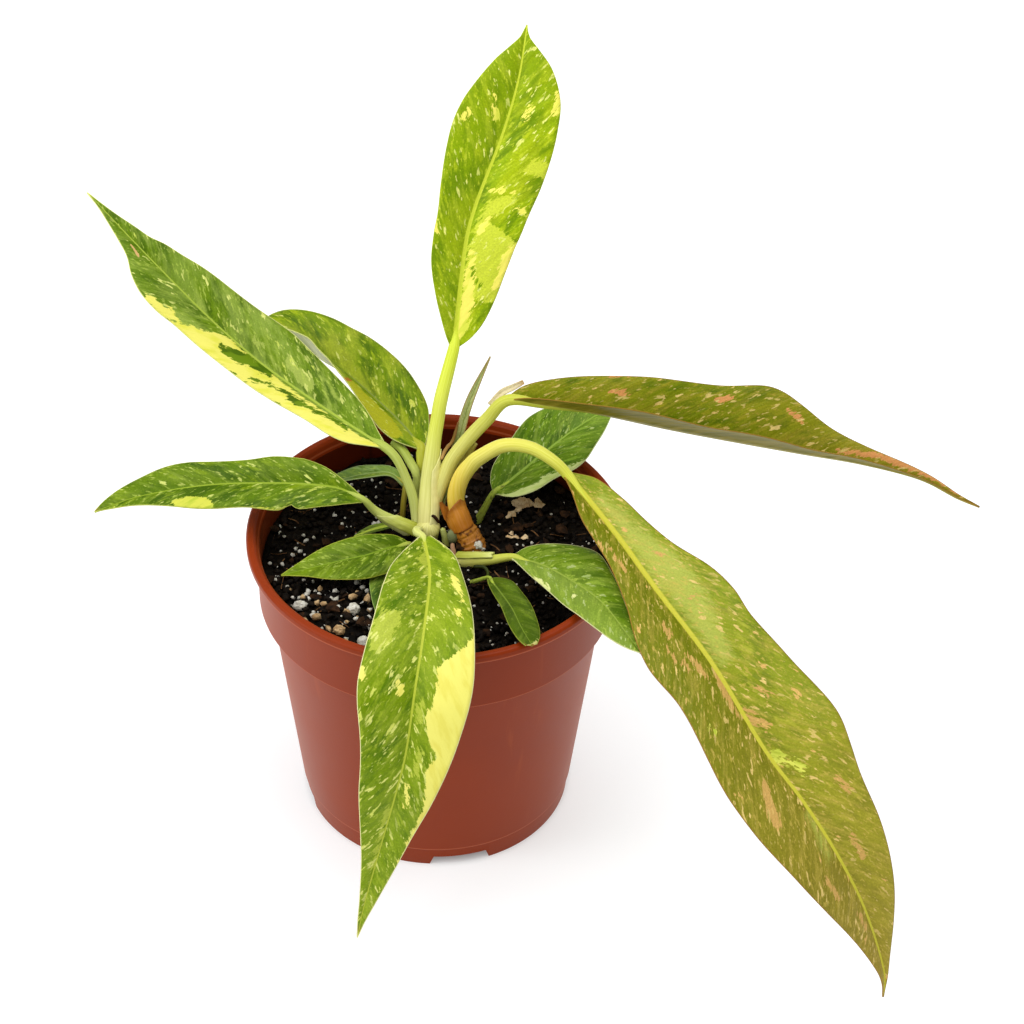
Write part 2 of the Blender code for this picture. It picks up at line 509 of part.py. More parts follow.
# Dry sheaths, made like narrow blades
SHEATHS = {
    "spear": {
        "spine": [(0, 25.3, 118.1), (1.8, 28.2, 126), (3.8, 31, 134), (7.3, 34.5, 150.5), (12.4, 39, 168),
                  (19.8, 44, 184.5)],
        "right": ((0.85, -0.3, -0.1), (0.85, -0.3, -0.1)),
        "widths": [(0, 1.5, 1.5), (0.25, 2.2, 2.2), (0.45, 2.4, 2.4), (0.75, 1.8, 1.8), (1, 0.5, 0.5)],
        "fold": (35, 35, 25, 25), "ripple": (0, 1)},
    "upper_right": {
        "spine": [(20, 29.8, 171.4), (24.6, 31.4, 176.4), (29.3, 31.6, 179.3), (33, 31, 182.3)],
        "right": ((0.7, 0.3, -0.6), (0.7, 0.3, -0.6)),
        "widths": [(0, 1.1, 1.1), (0.5, 1.2, 1.2), (1, 0.7, 0.7)],
        "fold": (20, 20, 10, 10), "ripple": (0, 1)},
    "yellow": {
        "spine": [(7.7, 27.5, 138), (10.8, 28.8, 146), (14.6, 29.4, 152.5)],
        "right": ((0.85, -0.3, -0.3), (0.85, -0.3, -0.3)),
        "widths": [(0, 3, 1.8), (0.5, 3.1, 2), (1, 1.6, 0.9)],
        "fold": (20, 20, 15, 15), "ripple": (0, 1)},
}

# Rounded pieces, most of them loose on the soil: centre, half sizes, shade
GRAINS = {
    "grey_bud": ((7.1, 7, 121.2), (2.1, 2, 3), GREY_GREEN),
    "perlite_grain_left": ((-52, -35.5, 122.5), (2.6, 2.2, 1.9), PERLITE),
    "perlite_grain_middle": ((-31, -39, 124.5), (2.4, 2.2, 2), PERLITE),
    "tan_grain_front": ((-36, -51.5, 124.6), (2.3, 2, 1.8), BARK),
    "perlite_grain_front": ((-26.6, -55.7, 122.5), (2.4, 2.4, 2.1), PERLITE),
    "bark_chip_back": ((33.4, 33.7, 118.2), (4.2, 2.8, 1.5), BARK),
}


# Which pieces are cut back, and the neighbours that they leave the clearance round
FITS = {
    "soil": ("main_stem", "old_stem", "pale_stub", "root_stub", "back_right", "front_left_small",
             "front_right_small", "hidden_front", "hidden_back", "narrow_back_left", "right_low", "sliver",
             *GRAINS),
    "upright": ("main_stem",),
    "upper_right": ("upright", "main_stem"),
    "upper_left": ("upright", "main_stem"),
    "lower_left": ("main_stem",),
    "front": ("main_stem", "lower_left"),
    "back_left": ("upper_right",),
    "hidden_back": ("back_left", "upper_left"),
    "pale_stub": ("main_stem",),
    "big_right": ("old_stem",),
    "old_stem_sheath": ("big_right", "old_stem"),
    "grey_bud": ("old_stem",),
    "root_stub": ("right_low",),
    "spear_sheath": ("upper_right",),
    "yellow_sheath": ("upper_right",),
}


def makeGrain(name, centre, size, spec, grow=0.0):
    bm = bmesh.new()
    bmesh.ops.create_icosphere(bm, subdivisions=1 if spec else 2, radius=1)
    for vert in bm.verts:
        rough = 1 + 0.18 * noise.noise(Vector(centre) + 2 * vert.co)
        vert.co = Vector(centre) + Vector([c * (s + grow) * rough for c, s in zip(vert.co, size)])
    return place(name, bm, spec, smooth=False)


def makeSheath(name, blade):
    obj = makeBlade(name, blade)
    obj.name = name + "_sheath"
    obj.data.materials.clear()
    obj.data.materials.append(material(GREY_GREEN if name == "spear" else SHEATH_TAN))
    return obj


def makeFoliage():
    for name, blade in BLADES.items():
        makeBlade(name, blade)
    for name, blade in SHEATHS.items():
        parts[name + "_sheath"] = makeSheath(name, blade)
    for name in STALKS:
        parts[name] = makeStalk(name, STALK_COLOURS.get(name, FRESH_GREEN))
        rooms[name] = stalkRoom(name)


def makeStems():
    for name, (shape, sides, spec) in STEMS.items():
        parts[name] = place(name, stalkMesh(*shape, sides=sides, rings=STEM_RINGS), spec)
        rooms[name] = place(name + "_room", stalkMesh(*shape, grow=CLEAR, sides=sides, rings=STEM_RINGS))


def makeGrains():
    for name, (centre, size, spec) in GRAINS.items():
        parts[name] = makeGrain(name, centre, size, spec)
        rooms[name] = makeGrain(name + "_room", centre, size, None, CLEAR)


clearScene()
makePot()
parts = {"soil": makeSoil()}
rooms = {}                       # grown hidden copies that make room for a piece in its neighbours
makeStems()
makeGrains()
makeFoliage()
for target, cutters in FITS.items():
    for name in cutters:
        cut(parts[target], rooms[name])
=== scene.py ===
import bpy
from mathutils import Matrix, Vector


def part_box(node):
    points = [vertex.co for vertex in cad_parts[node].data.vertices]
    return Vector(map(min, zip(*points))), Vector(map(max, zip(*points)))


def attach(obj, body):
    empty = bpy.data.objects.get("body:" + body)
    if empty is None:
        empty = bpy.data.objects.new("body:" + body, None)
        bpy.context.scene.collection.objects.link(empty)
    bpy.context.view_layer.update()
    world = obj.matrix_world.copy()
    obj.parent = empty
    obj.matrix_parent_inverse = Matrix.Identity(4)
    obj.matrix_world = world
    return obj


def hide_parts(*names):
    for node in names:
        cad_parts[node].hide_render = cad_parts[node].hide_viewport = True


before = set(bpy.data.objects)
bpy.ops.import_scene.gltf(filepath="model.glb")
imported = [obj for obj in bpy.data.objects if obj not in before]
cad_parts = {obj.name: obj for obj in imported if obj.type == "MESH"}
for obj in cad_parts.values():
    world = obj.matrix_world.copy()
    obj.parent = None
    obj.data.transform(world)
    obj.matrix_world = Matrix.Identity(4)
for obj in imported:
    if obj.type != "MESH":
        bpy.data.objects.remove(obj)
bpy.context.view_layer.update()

import bisect
import math
import random

import bmesh
import bpy
from mathutils import Matrix, Vector, noise

mm = 0.001
potLow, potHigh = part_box("pot")
potAxis = Vector(((potLow.x + potHigh.x) / 2, (potLow.y + potHigh.y) / 2, 0))
toFrame = Matrix.Translation(potAxis) @ Matrix.Scale(mm, 4)


def linear(hexColour):
    channels = [int(hexColour[i:i + 2], 16) / 255 for i in (1, 3, 5)]
    return (*[c / 12.92 if c <= 0.04045 else ((c + 0.055) / 1.055) ** 2.4 for c in channels], 1)


class Finish:
    # one material: a Principled shader and the nodes of its pattern

    def __init__(self, name, roughness, specular=0.3, ior=1.45):
        self.material = bpy.data.materials.new(name)
        self.material.use_nodes = True
        self.tree = self.material.node_tree
        self.shade({"Roughness": roughness, "Specular IOR Level": specular, "IOR": ior})

    def fill(self, socket, value):
        # a socket takes a number, a hex colour, a node or one of its outputs
        if isinstance(value, bpy.types.Node):
            value = next(output for output in value.outputs if output.enabled)
        if isinstance(value, bpy.types.NodeSocket):
            self.tree.links.new(value, socket)
        else:
            socket.default_value = linear(value) if isinstance(value, str) else value

    def shade(self, sockets):
        for key, value in sockets.items():
            self.fill(self.tree.nodes["Principled BSDF"].inputs[key], value)

    def add(self, kind, sockets=None, **settings):
        made = self.tree.nodes.new("ShaderNode" + kind)
        for key, value in settings.items():
            setattr(made, key, value)
        for key, value in (sockets or {}).items():
            self.fill(made.inputs[key], value)
        return made

    def calc(self, operation, *values, kind="Math"):
        return self.add(kind, dict(enumerate(values)), operation=operation)

    def stretch(self, vector, *scale):
        return self.calc("MULTIPLY", vector, scale, kind="VectorMath")

    def clouds(self, vector, scale, detail=2, roughness=0.5):
        return self.add("TexNoise", {"Vector": vector, "Scale": scale, "Detail": detail,
                                     "Roughness": roughness})

    def ramp(self, value, low, high, toLow=0, toHigh=1, kind="LINEAR"):
        return self.add("MapRange", {"Value": value, "From Min": low, "From Max": high, "To Min": toLow,
                                     "To Max": toHigh}, interpolation_type=kind)

    def mask(self, value, low, high):
        return self.ramp(value, low, high, kind="SMOOTHSTEP")

    def layers(self, colour, *laid):
        # shades laid over each other, each with its own mask
        for mask, shade in laid:
            colour = self.add("Mix", {0: mask, 6: colour, 7: shade}, data_type="RGBA")
        return colour

    def read(self, attribute, output="Fac"):
        return self.add("Attribute", attribute_name=attribute).outputs[output]

    def place(self):
        return self.add("TexCoord").outputs["Object"]

    def placeOnPot(self):
        return self.add("Mapping", {"Vector": self.place(), "Location": (-potAxis.x, -potAxis.y, 0)})

    def done(self, colour, height, strength, depth):
        # depth is the bump's, in millimetres
        bump = self.add("Bump", {"Height": height, "Strength": strength, "Distance": depth * mm})
        self.shade({"Base Color": colour, "Normal": bump})
        return self.material


def evenly(values):
    # gives each value its share of the length
    return [(i / (len(values) - 1), value) for i, value in enumerate(values)]


def between(stations, t):
    # what the stations, each (share, values...), come to at t
    for low, high in zip(stations, stations[1:]):
        if t <= high[0]:
            u = max(0, (t - low[0]) / (high[0] - low[0]))
            return [a + (b - a) * u for a, b in zip(low[1:], high[1:])]
    return list(stations[-1][1:])


def squareTo(along, vector):
    return (vector - vector.dot(along) * along).normalized()


class SmoothLine:
    # a smooth curve through a few points, read by its share of length

    def __init__(self, points):
        pts = [Vector(p) for p in points]
        pts = [2 * pts[0] - pts[1]] + pts + [2 * pts[-1] - pts[-2]]
        spans = len(pts) - 3
        steps = max(6, 120 // spans)
        self.points = []
        for i in range(spans):
            a, b, c, d = pts[i:i + 4]
            for k in range(steps + (i == spans - 1)):
                u = k / steps
                self.points.append(0.5 * (2 * b + (c - a) * u + (2 * a - 5 * b + 4 * c - d) * u ** 2
                                          + (3 * b - a - 3 * c + d) * u ** 3))
        self.lengths = [0.0]
        for p, q in zip(self.points, self.points[1:]):
            self.lengths.append(self.lengths[-1] + (q - p).length)
        self.length = self.lengths[-1]

    def at(self, t):
        want = min(max(t, 0.0), 1.0) * self.length
        i = min(max(bisect.bisect_left(self.lengths, want) - 1, 0), len(self.points) - 2)
        share = (want - self.lengths[i]) / (self.lengths[i + 1] - self.lengths[i])
        return self.points[i].lerp(self.points[i + 1], share)

    def along(self, t):
        return (self.at(t + 0.02) - self.at(t - 0.02)).normalized()

    def across(self, t, upward):
        # the two directions square to the line, the first as near to upward as it can be
        up = squareTo(self.along(t), Vector(upward))
        return up, self.along(t).cross(up)


def newObject(name, bm, materials=()):
    mesh = bpy.data.meshes.new(name)
    bm.to_mesh(mesh)
    bm.free()
    for made in materials:
        mesh.materials.append(made)
    piece = bpy.data.objects.new(name, mesh)
    bpy.context.scene.collection.objects.link(piece)
    return piece


def finishPiece(name, bm, materials, node=None, slot=None, smooth=True, outward=True):
    if outward:
        bmesh.ops.recalc_face_normals(bm, faces=bm.faces[:])
    bmesh.ops.transform(bm, matrix=toFrame, verts=bm.verts[:])
    piece = newObject(name, bm, materials)
    if smooth:
        piece.data.shade_smooth()
    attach(piece, "root")
    if node:
        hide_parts(node)
    return piece


def laySurface(bm, places):
    # the surface map: millimetres across and along, by vertex
    surface = bm.loops.layers.uv.new("surface")
    for face in bm.faces:
        for loop in face.loops:
            loop[surface].uv = places[loop.vert]


def addShell(piece, thickness, offset):
    shell = piece.modifiers.new("Thickness", 'SOLIDIFY')
    shell.thickness, shell.offset = thickness * mm, offset
    return shell


# What most leaves share. Places are in percent: 0 to 100 along a blade from its stalk to its tip, and -100 at
# its left margin, 0 at its midrib and 100 at its right margin. widths are (place, left, right), the last two
# in millimetres. cream, tan, islands, pale and scar are bands of (place, inner edge, outer edge), and tints
# are (from, to, amount at the left, amount at the right, shade).
# Some tints and soft pale washes are painted shade, light or sheen; each is marked where it stands.
plainLeaf = dict(
    slot="leaf_green", greens=("#466102", "#66810c", "#8aa032"), streak=(0.25, "#a3b548"),
    speckle=(0.66, "#c5d066"), fleck=(0.7, "#b4c050"), faint=(0.6, 0.6), mottle=("#94a83c", 0.35), jag=3.4,
    margin=(0.35, "#c2cc6c"), rib=(1.1, "#a8ba40"), roughness=0.42, under=("#8a9444", "#a2aa5c"),
    underRib="#b0b86c", tints=(), cream=(), creamShades=("#ddd763", "#d2d04a"), islands=(), pale=(),
    paleShade="#a9b848", paleSoft=0.1, tan=(), tanShade="#cfa268", scar=(), scarShade="#9a5a1c")

leaves = {}
leaves["upright"] = dict(
    spine=[(5.5, 48, 186), (9, 66, 219), (13, 76, 234), (23, 93, 256), (29, 107, 273), (32, 121, 289)],
    right=((0.97, 0, -0.25), (0.97, 0, -0.25)), fold=(16, 16, 8, 8), ripple=(0.8, 3), slot="leaf_lime",
    widths=[(0, 1.6, 1.8), (3, 3.8, 6), (8, 6.5, 10.4), (16, 10.2, 14.4), (25, 13.2, 17.3), (33, 13.9, 19.3),
        (38, 14.2, 20.3), (47, 17, 21.2), (55, 19.4, 21.7), (64, 20.9, 21.1), (72, 19.8, 20.1),
        (80, 16.2, 18.1), (88, 10.8, 12.3), (93.5, 4.9, 5.4), (96, 2.2, 2.1), (98, 1.2, 0.8),
        (100, 0.2, 0.2)],
    greens=("#678502", "#8aa506", "#aebf1a"), streak=(0.3, "#c3cf34"), speckle=(0.615, "#e3e47c"),
    fleck=(0.67, "#dbde6c"), mottle=("#adbb12", 0.5), jag=4.6, margin=(0.25, "#b9c23c"), rib=(1.3, "#c6d23a"),
    # the first tint is painted shade: the left half darker all along
    tints=((-100, 0, 0.4, 0, "#708c06"), (60, 100, 0.6, 0.6, "#7a9202")),
    cream=[[(0, 0, 40), (5, 0, 50), (10, 2, 42), (14, 4, 50), (20, 6, 34), (26, 10, 24), (30, 12, 18)],
        [(35, 16, 30), (39, 20, 34), (43, 24, 34)], [(19, 80, 120), (27, 82, 120), (33, 85, 120),
        (35, 90, 120)], [(45.5, 74, 100), (47.5, 74, 100)], [(49, 10, 30), (51, 30, 60)], [(69, -30, -10),
        (73, -40, -26), (77, -50, -42)], [(72, 24, 34), (76, 34, 44)], [(76, 84, 96), (82, 90, 105)],
        [(66, -90, -74), (70, -84, -76)], [(33, -110, -90), (37, -110, -92)]],
    creamShades=("#ebe162", "#d0d648"), islands=[[(19, 40, 50), (25, 17, 24)]],
    pale=[[(15, 30, 120), (20, 10, 120), (28, 8, 120), (34, 10, 110), (37, 12, 80), (40, 12, 34)],
        [(40, 10, 30), (45, 20, 50), (50, 40, 66)], [(58, 60, 110), (63, 70, 110)]], paleShade="#c9d23c")
leaves["upper_left"] = dict(
    spine=[(-22, 26, 153), (-39, 36, 158), (-57, 46, 165), (-73, 54, 173), (-90, 62, 185), (-105, 70, 197),
        (-123, 80, 212), (-141, 92, 226)], right=((0.45, 0.9, 0.1), (0.55, 0.8, 0.3)), fold=(14, 14, 10, 10),
    ripple=(0.5, 3),
    widths=[(0, 1.5, 1.5), (3, 5.5, 3.8), (7, 10.2, 7.4), (12, 12.1, 10.9), (20, 12, 14), (30, 13.6, 16.6),
        (38, 14.5, 18), (50, 14.9, 16.6), (60, 15.1, 14.7), (66, 16.5, 12.9), (72, 15.9, 10.4),
        (77, 12.6, 8.6), (81, 7.8, 6.2), (85, 5.3, 4.9), (91, 2.7, 2.6), (96, 1, 1.1), (100, 0.2, 0.2)],
    greens=("#456102", "#627e0a", "#86993a"), streak=(0.3, "#a3b548"), speckle=(0.615, "#ccd272"),
    fleck=(0.65, "#b4c050"), mottle=("#92a648", 0.5), margin=(0.35, "#d8da84"), rib=(0.8, "#9db03c"),
    tints=((50, 75, 0.4, 0.3, "#4e6c0a"), (25, 0, 0, 0.3, "#5f7c0a"), (97, 100, 1, 1, "#8a6a34")),
    cream=[[(0, -120, -30), (5, -120, -30), (12, -120, -20), (20, -120, -22), (30, -120, -14), (40, -120, -6),
        (48, -120, -6), (53, -120, -36), (57, -120, -66), (60, -120, -84), (62, -120, -100)], [(60, -90, -80),
        (64, -100, -70), (69, -100, -78), (71, -95, -86)]],
    islands=[[(10, -36, -14), (15, -40, -18), (22, -62, -42), (27, -70, -46)], [(22, -46, -30),
        (28, -55, -38), (34, -66, -50), (38, -90, -72)], [(34, -26, 0), (38, -40, -2), (43, -62, -8),
        (46, -66, -30), (49, -60, -48)], [(27, -120, -100), (30, -120, -96)], [(40, -120, -100),
        (43, -120, -95)]],
    pale=[[(24, 12, 40), (28, 15, 50), (34, 30, 50)], [(30, 94, 120), (34, 92, 120)], [(40, 20, 34),
        (44, 24, 40)]], paleShade="#9cab4c", scar=[[(79, -44, -30), (83, -46, -32)]], scarShade="#c9a468")
leaves["upper_right"] = dict(
    spine=[(26.7, 26, 176.6), (38, 25.5, 177), (64, 27, 170.7), (91, 30, 161.4), (117, 32, 154),
        (144, 32, 148.3), (168, 30, 145), (191, 26, 141), (206, 22.5, 134.6), (215.3, 20, 132)],
    right=((0, -1, -0.1), (-0.2, -1, -0.2)), fold=(36, 60, 36, 56), ripple=(0.6, 4), slot="leaf_olive",
    widths=[(0, 1.6, 1.6), (3, 5.4, 3), (8, 9.2, 5.5), (16, 13.6, 10), (26, 17.2, 15.3), (36, 19.2, 17.6),
        (44, 21, 17.8), (52, 23.4, 17.2), (56, 22.3, 16.6), (61, 18, 15), (68, 11.2, 12.2), (76, 6.3, 8.6),
        (85, 3.4, 4.2), (93, 1.9, 1.9), (100, 0.2, 0.2)],
    greens=("#526400", "#6c7602", "#8a8816"), streak=(0.3, "#a08c34"), speckle=(0.6, "#cdb46c"),
    fleck=(0.645, "#c9ac62"), mottle=("#8f8a1c", 0.5), margin=(0.35, "#8a6a26"), rib=(0.8, "#a3a63a"),
    roughness=0.38, under=("#6a6614", "#857a26"), underRib="#a39a44", tints=((35, 110, 0.9, 0.9, "#8f8020"),
        (-100, 0, 0, 0.25, "#6d7a1c"), (96, 100, 1, 1, "#7a4a1c")),
    tan=[[(17, -120, -99), (22, -120, -97), (25, -120, -100)], [(20, -58, -48), (22.5, -60, -46),
        (24.5, -60, -50)], [(42.5, -70, -60), (45, -78, -62), (46.5, -78, -72)], [(57.5, -70, -62),
        (61, -74, -60)], [(69, -30, -18), (74, -60, -35), (78, -100, -45), (82, -120, -50), (90, -120, -55),
        (96, -120, -70)]], tanShade="#c68a50")
leaves["big_right"] = dict(
    spine=[(51, 6, 156), (69, -16, 146), (85, -40, 138), (106, -68, 126), (126, -95, 107), (140, -109, 95),
        (153, -121, 80), (165, -130, 59), (174, -137, 33), (175, -140, 20)],
    right=((-0.74, -0.67, 0), (-0.7, -0.65, -0.3)), fold=(16, 16, 12, 12), ripple=(1.2, 4),
    slot="leaf_bronze",
    widths=[(0, 2.2, 2), (3, 8, 4.6), (8, 11, 9.8), (13, 13, 11.2), (18, 16.2, 12.3), (25, 22.2, 17.6),
        (31, 23.9, 24.2), (36, 23.3, 26.7), (43, 26.8, 24.2), (52, 30.8, 25.9), (58, 30.4, 27),
        (65, 25, 26.3), (73, 21.2, 22.3), (80, 16.1, 16.9), (88, 9.1, 9.1), (94, 3.2, 4), (97, 1.1, 2),
        (100, 0.2, 0.2)],
    greens=("#5f7206", "#7f8a12", "#a2a430"), streak=(0.32, "#bda64c"), speckle=(0.61, "#d3b86c"),
    fleck=(0.655, "#cda65c"), faint=(0.58, 0.55), mottle=("#75870a", 0.8), jag=4.4, margin=(0.4, "#94702c"),
    rib=(1.7, "#c2bd3c"), roughness=0.38, under=("#8f8d40", "#a6a256"),
    # the first tint is painted shade on the right half and the second painted light on the left half; the
    # third is a brown tone
    tints=((-100, 0, -0.1, 0.6, "#5c6804"), (-100, 0, 0.2, -0.1, "#8c9826"), (-100, 0, -0.1, 0.2, "#7d6a10"),
        (30, 85, 0.35, 0.3, "#b08c40"), (75, 100, 0.4, 0.45, "#a1862c"), (97.5, 100, 1, 1, "#96602a")),
    cream=[[(55, -10, -2), (57, -16, -4), (59, -26, -16), (61, -28, -22)], [(47.5, 66, 74), (49, 66, 72)]],
    creamShades=("#cfd257", "#adb83c"),
    # the soft pale washes, one near the base and one past the middle, are painted sheen
    pale=[[(6, -50, -15), (12, -65, -10), (20, -75, -8), (28, -60, -10), (34, -45, -10), (40, -30, -10)],
        [(66, 2, 10), (70, 4, 20), (73, 10, 22)]], paleShade="#a9b04c", paleSoft=3,
    tan=[[(15, 60, 70), (17, 58, 72), (20, 54, 64)], [(13, 84, 92), (16, 82, 92)], [(40, -2, 6), (43, 0, 15),
        (46, 5, 18), (48.5, 10, 15)], [(47, -6, 0), (50, -14, -4), (52, -26, -14)], [(45.5, -36, -26),
        (48, -46, -36)], [(58, 30, 42), (61, 46, 62), (65, 56, 70)], [(64, -66, -56), (67, -76, -66)],
        [(18.5, -56, -40), (20, -64, -50)], [(30, 36, 42), (33, 34, 42)], [(36, 28, 35), (41, 22, 32)],
        [(37, 44, 50), (39, 43, 49)], [(34, 55, 60), (37, 52, 58)], [(72, -40, -32), (76, -46, -38)],
        [(75, 50, 60), (79, 50, 58)], [(83, 20, 34), (87, 25, 36)], [(28.5, -42, -30), (29, -50, -40)]],
    tanShade="#c09a54")
leaves["front"] = dict(
    spine=[(-5.2, -1, 129.3), (-2, -29, 134), (-3, -65, 138.5), (-6, -88, 126), (-9, -98, 105),
        (-13, -103, 87), (-19, -106, 61), (-25, -110, 35), (-28, -112, 18)],
    right=((-1, -0.05, 0.1), (-1, 0, 0.1)), fold=(12, 12, 12, 12), ripple=(0.7, 4),
    widths=[(0, 2.6, 1.4), (3, 5.8, 4.8), (8, 10, 10.6), (14, 12.4, 15.6), (22, 15.6, 18), (30, 18.4, 19.4),
        (40, 21.5, 22), (45, 21.5, 22.4), (52, 19.1, 19.3), (60, 15.9, 16.5), (66, 13.9, 14.2),
        (74, 10.5, 9.9), (82, 7.5, 5.9), (91, 4, 2.5), (96, 1.7, 1.3), (100, 0.2, 0.2)],
    greens=("#4c6c00", "#6c8606", "#8b9f24"), streak=(0.25, "#a3b13c"), speckle=(0.6, "#d2d672"),
    fleck=(0.645, "#c6ce5c"), mottle=("#94a62a", 0.4), margin=(0.4, "#e3dfa0"), rib=(0.8, "#b4be3c"),
    tints=((-100, 0, 0.2, 0, "#8da31a"), (45, 90, 0, 0.35, "#7a9404"), (96, 100, 1, 1, "#96703a")),
    cream=[[(33, -120, -100), (36, -120, -74), (39, -120, -36), (44, -120, -36), (49, -120, -26),
        (53, -120, -42), (55, -120, -64), (58, -120, -54), (62, -120, -70), (67, -120, -84), (74, -120, -90),
        (80, -120, -98)], [(41.5, 90, 120), (43.5, 90, 120)], [(15, -72, -60), (19, -84, -64),
        (25, -90, -80)], [(27.5, -74, -60), (29.5, -78, -66)], [(62, -24, -12), (67, -46, -34)],
        [(43, 22, 34), (45.5, 14, 28)]], creamShades=("#e1db6b", "#dad25e"),
    pale=[[(30, 50, 80), (33, 50, 96), (36, 56, 96), (38.5, 70, 90)], [(2, 0, 14), (6, 2, 20), (10, 3, 42),
        (12, 3, 16), (15, 3, 10)], [(68, 4, 20), (74, 6, 24), (84, 5, 20)], [(46, -20, -6), (50, -24, -10)],
        [(55, -36, -20), (60, -40, -26)]], paleShade="#b2bd42")
leaves["lower_left"] = dict(
    spine=[(-29, 7, 141), (-39, 9, 145), (-54, 10, 146), (-70, 10, 146), (-85, 9, 146), (-101, 7, 145),
        (-117, 4, 143), (-127, 1, 141), (-134, -2, 140)], right=((0.1, 0.9, 0.45), (0, 1, 0.1)),
    fold=(14, 14, 10, 10), ripple=(0.6, 3),
    widths=[(0, 1.3, 1), (4, 5.2, 1.8), (9, 8.7, 3.6), (16, 11.1, 7.8), (23, 12.9, 10.3), (25.5, 12.2, 10.5),
        (27, 10.9, 10.6), (28.5, 12.6, 10.7), (31, 14.4, 10.8), (35, 14.6, 10.7), (43, 13.8, 9.8),
        (55, 13.6, 10.1), (65, 12.4, 10.6), (74, 9.6, 10.1), (82, 6.3, 8.2), (90, 3.3, 5.7), (95, 1.8, 3.3),
        (100, 0.2, 0.2)],
    greens=("#3c5802", "#536f02", "#738a10"), streak=(0.2, "#a3b548"), speckle=(0.62, "#bfc868"),
    fleck=(0.66, "#a8b64c"), mottle=("#72891a", 0.4), margin=(0.35, "#b4bb58"), rib=(0.6, "#8ba02c"),
    tints=((97, 100, 1, 1, "#8a6a34"),),
    cream=[[(56, -100, -80), (60, -110, -56), (66, -110, -50), (71, -110, -74)], [(28, -120, -97),
        (42, -120, -96)]], creamShades=("#c3c548", "#a8b636"))
leaves["narrow_back_left"] = dict(
    spine=[(-13.5, 25.2, 134.2), (-19, 28, 137.5), (-26, 28, 137.5), (-34, 28, 135.5), (-42, 29, 132),
        (-50, 30, 128)], right=((0.15, 0.97, -0.05), (0.15, 0.97, -0.05)), fold=(12, 12, 12, 12),
    ripple=(0.3, 2),
    widths=[(0, 1, 1), (12, 2.8, 2.8), (35, 3.8, 4.2), (60, 4, 4.6), (85, 2.6, 3), (100, 0.2, 0.2)],
    greens=("#4d6a1c", "#66823a", "#86a05a"), speckle=(0.8, "#c5d066"), fleck=(0.8, "#b4c050"),
    margin=(0.3, "#9db070"), rib=(0.5, "#93a860"))
leaves["front_left_small"] = dict(
    spine=[(-11, 2, 122.6), (-18, -4, 126), (-27, -11, 128), (-37, -16, 129), (-49, -21, 129),
        (-60, -23, 127)], right=((-0.4, 0.9, 0.3), (-0.4, 0.9, 0.1)), fold=(10, 10, 8, 8), ripple=(0.3, 2),
    widths=[(0, 1, 1.2), (4, 2.6, 2.9), (10, 5.4, 4.7), (18, 8.9, 6.2), (30, 11.5, 8.4), (42, 12.6, 8.8),
        (52, 12.6, 8.4), (62, 11.2, 7.8), (72, 8.7, 6.7), (83, 4.2, 4.5), (92, 2, 2.2), (100, 0.2, 0.2)],
    greens=("#3a5402", "#4f6a02", "#6a8314"), speckle=(0.63, "#9aac4c"), fleck=(0.7, "#93a53e"),
    mottle=("#72891a", 0.3), margin=(0.4, "#a3ae3c"), rib=(0.5, "#748e20"),
    tints=((30, 100, 0.3, 0.2, "#7d920c"), (35, 0, 0, 0.6, "#47620a")))
leaves["sliver"] = dict(
    spine=[(-17, 16, 121), (-21, 13, 122.3), (-26, 10, 123), (-33, 6.5, 122.5)],
    right=((-0.5, 0.8, 0.2), (-0.5, 0.8, 0.2)), fold=(10, 10, 10, 10), ripple=(0, 1),
    widths=[(0, 0.8, 0.8), (20, 1.4, 1.5), (50, 1.8, 2), (80, 1.2, 1.3), (100, 0.2, 0.2)],
    greens=("#2c4006", "#3f5809", "#5d7418"), margin=(0.25, "#74873c"))
leaves["hidden_front"] = dict(
    spine=[(-11, -2, 121), (-15, -9, 122), (-19, -19, 123), (-21, -30, 122.5), (-22, -40, 121.5)],
    right=((-1, -0.2, 0.2), (-1, -0.1, 0.2)), fold=(10, 10, 8, 8), ripple=(0.2, 2),
    widths=[(0, 0.9, 0.9), (12, 4, 4), (35, 6.5, 6.5), (60, 6, 6), (82, 3.2, 3.2), (100, 0.2, 0.2)],
    greens=("#35500f", "#446216", "#577628"), margin=(0.3, "#8fa65a"))
leaves["front_right_small"] = dict(
    spine=[(21, -18, 123), (25, -30, 127.1), (30, -43.1, 129.8), (33.9, -56.8, 131.9), (37.9, -67.2, 132.6)],
    right=((-0.9, -0.4, 0.1), (-0.9, -0.4, 0.1)), fold=(12, 12, 8, 8), ripple=(0.3, 2),
    widths=[(0, 0.8, 0.8), (4, 3, 1.2), (10, 5, 2.2), (20, 6.8, 3), (40, 7.4, 4), (60, 7.2, 4.6),
        (80, 6.6, 4.6), (92, 5, 4.3), (98, 3, 3.4), (100, 2.2, 2.8)],
    greens=("#3c5202", "#485f06", "#586e12"), streak=(0.1, "#a3b548"), speckle=(0.69, "#6c8034"),
    fleck=(0.76, "#b4c050"), faint=(0.66, 0.3), mottle=("#586e12", 0), margin=(0.3, "#8c9838"),
    rib=(0.5, "#6d8228"), cream=[[(97.5, -120, -30), (100, -120, 120), (105, -120, 120)]],
    creamShades=("#b9b468", "#98a03c"), scar=[[(98.5, -20, 25), (105, -30, 40)], [(97, 75, 95),
        (100, 75, 100)]], scarShade="#8a6428")
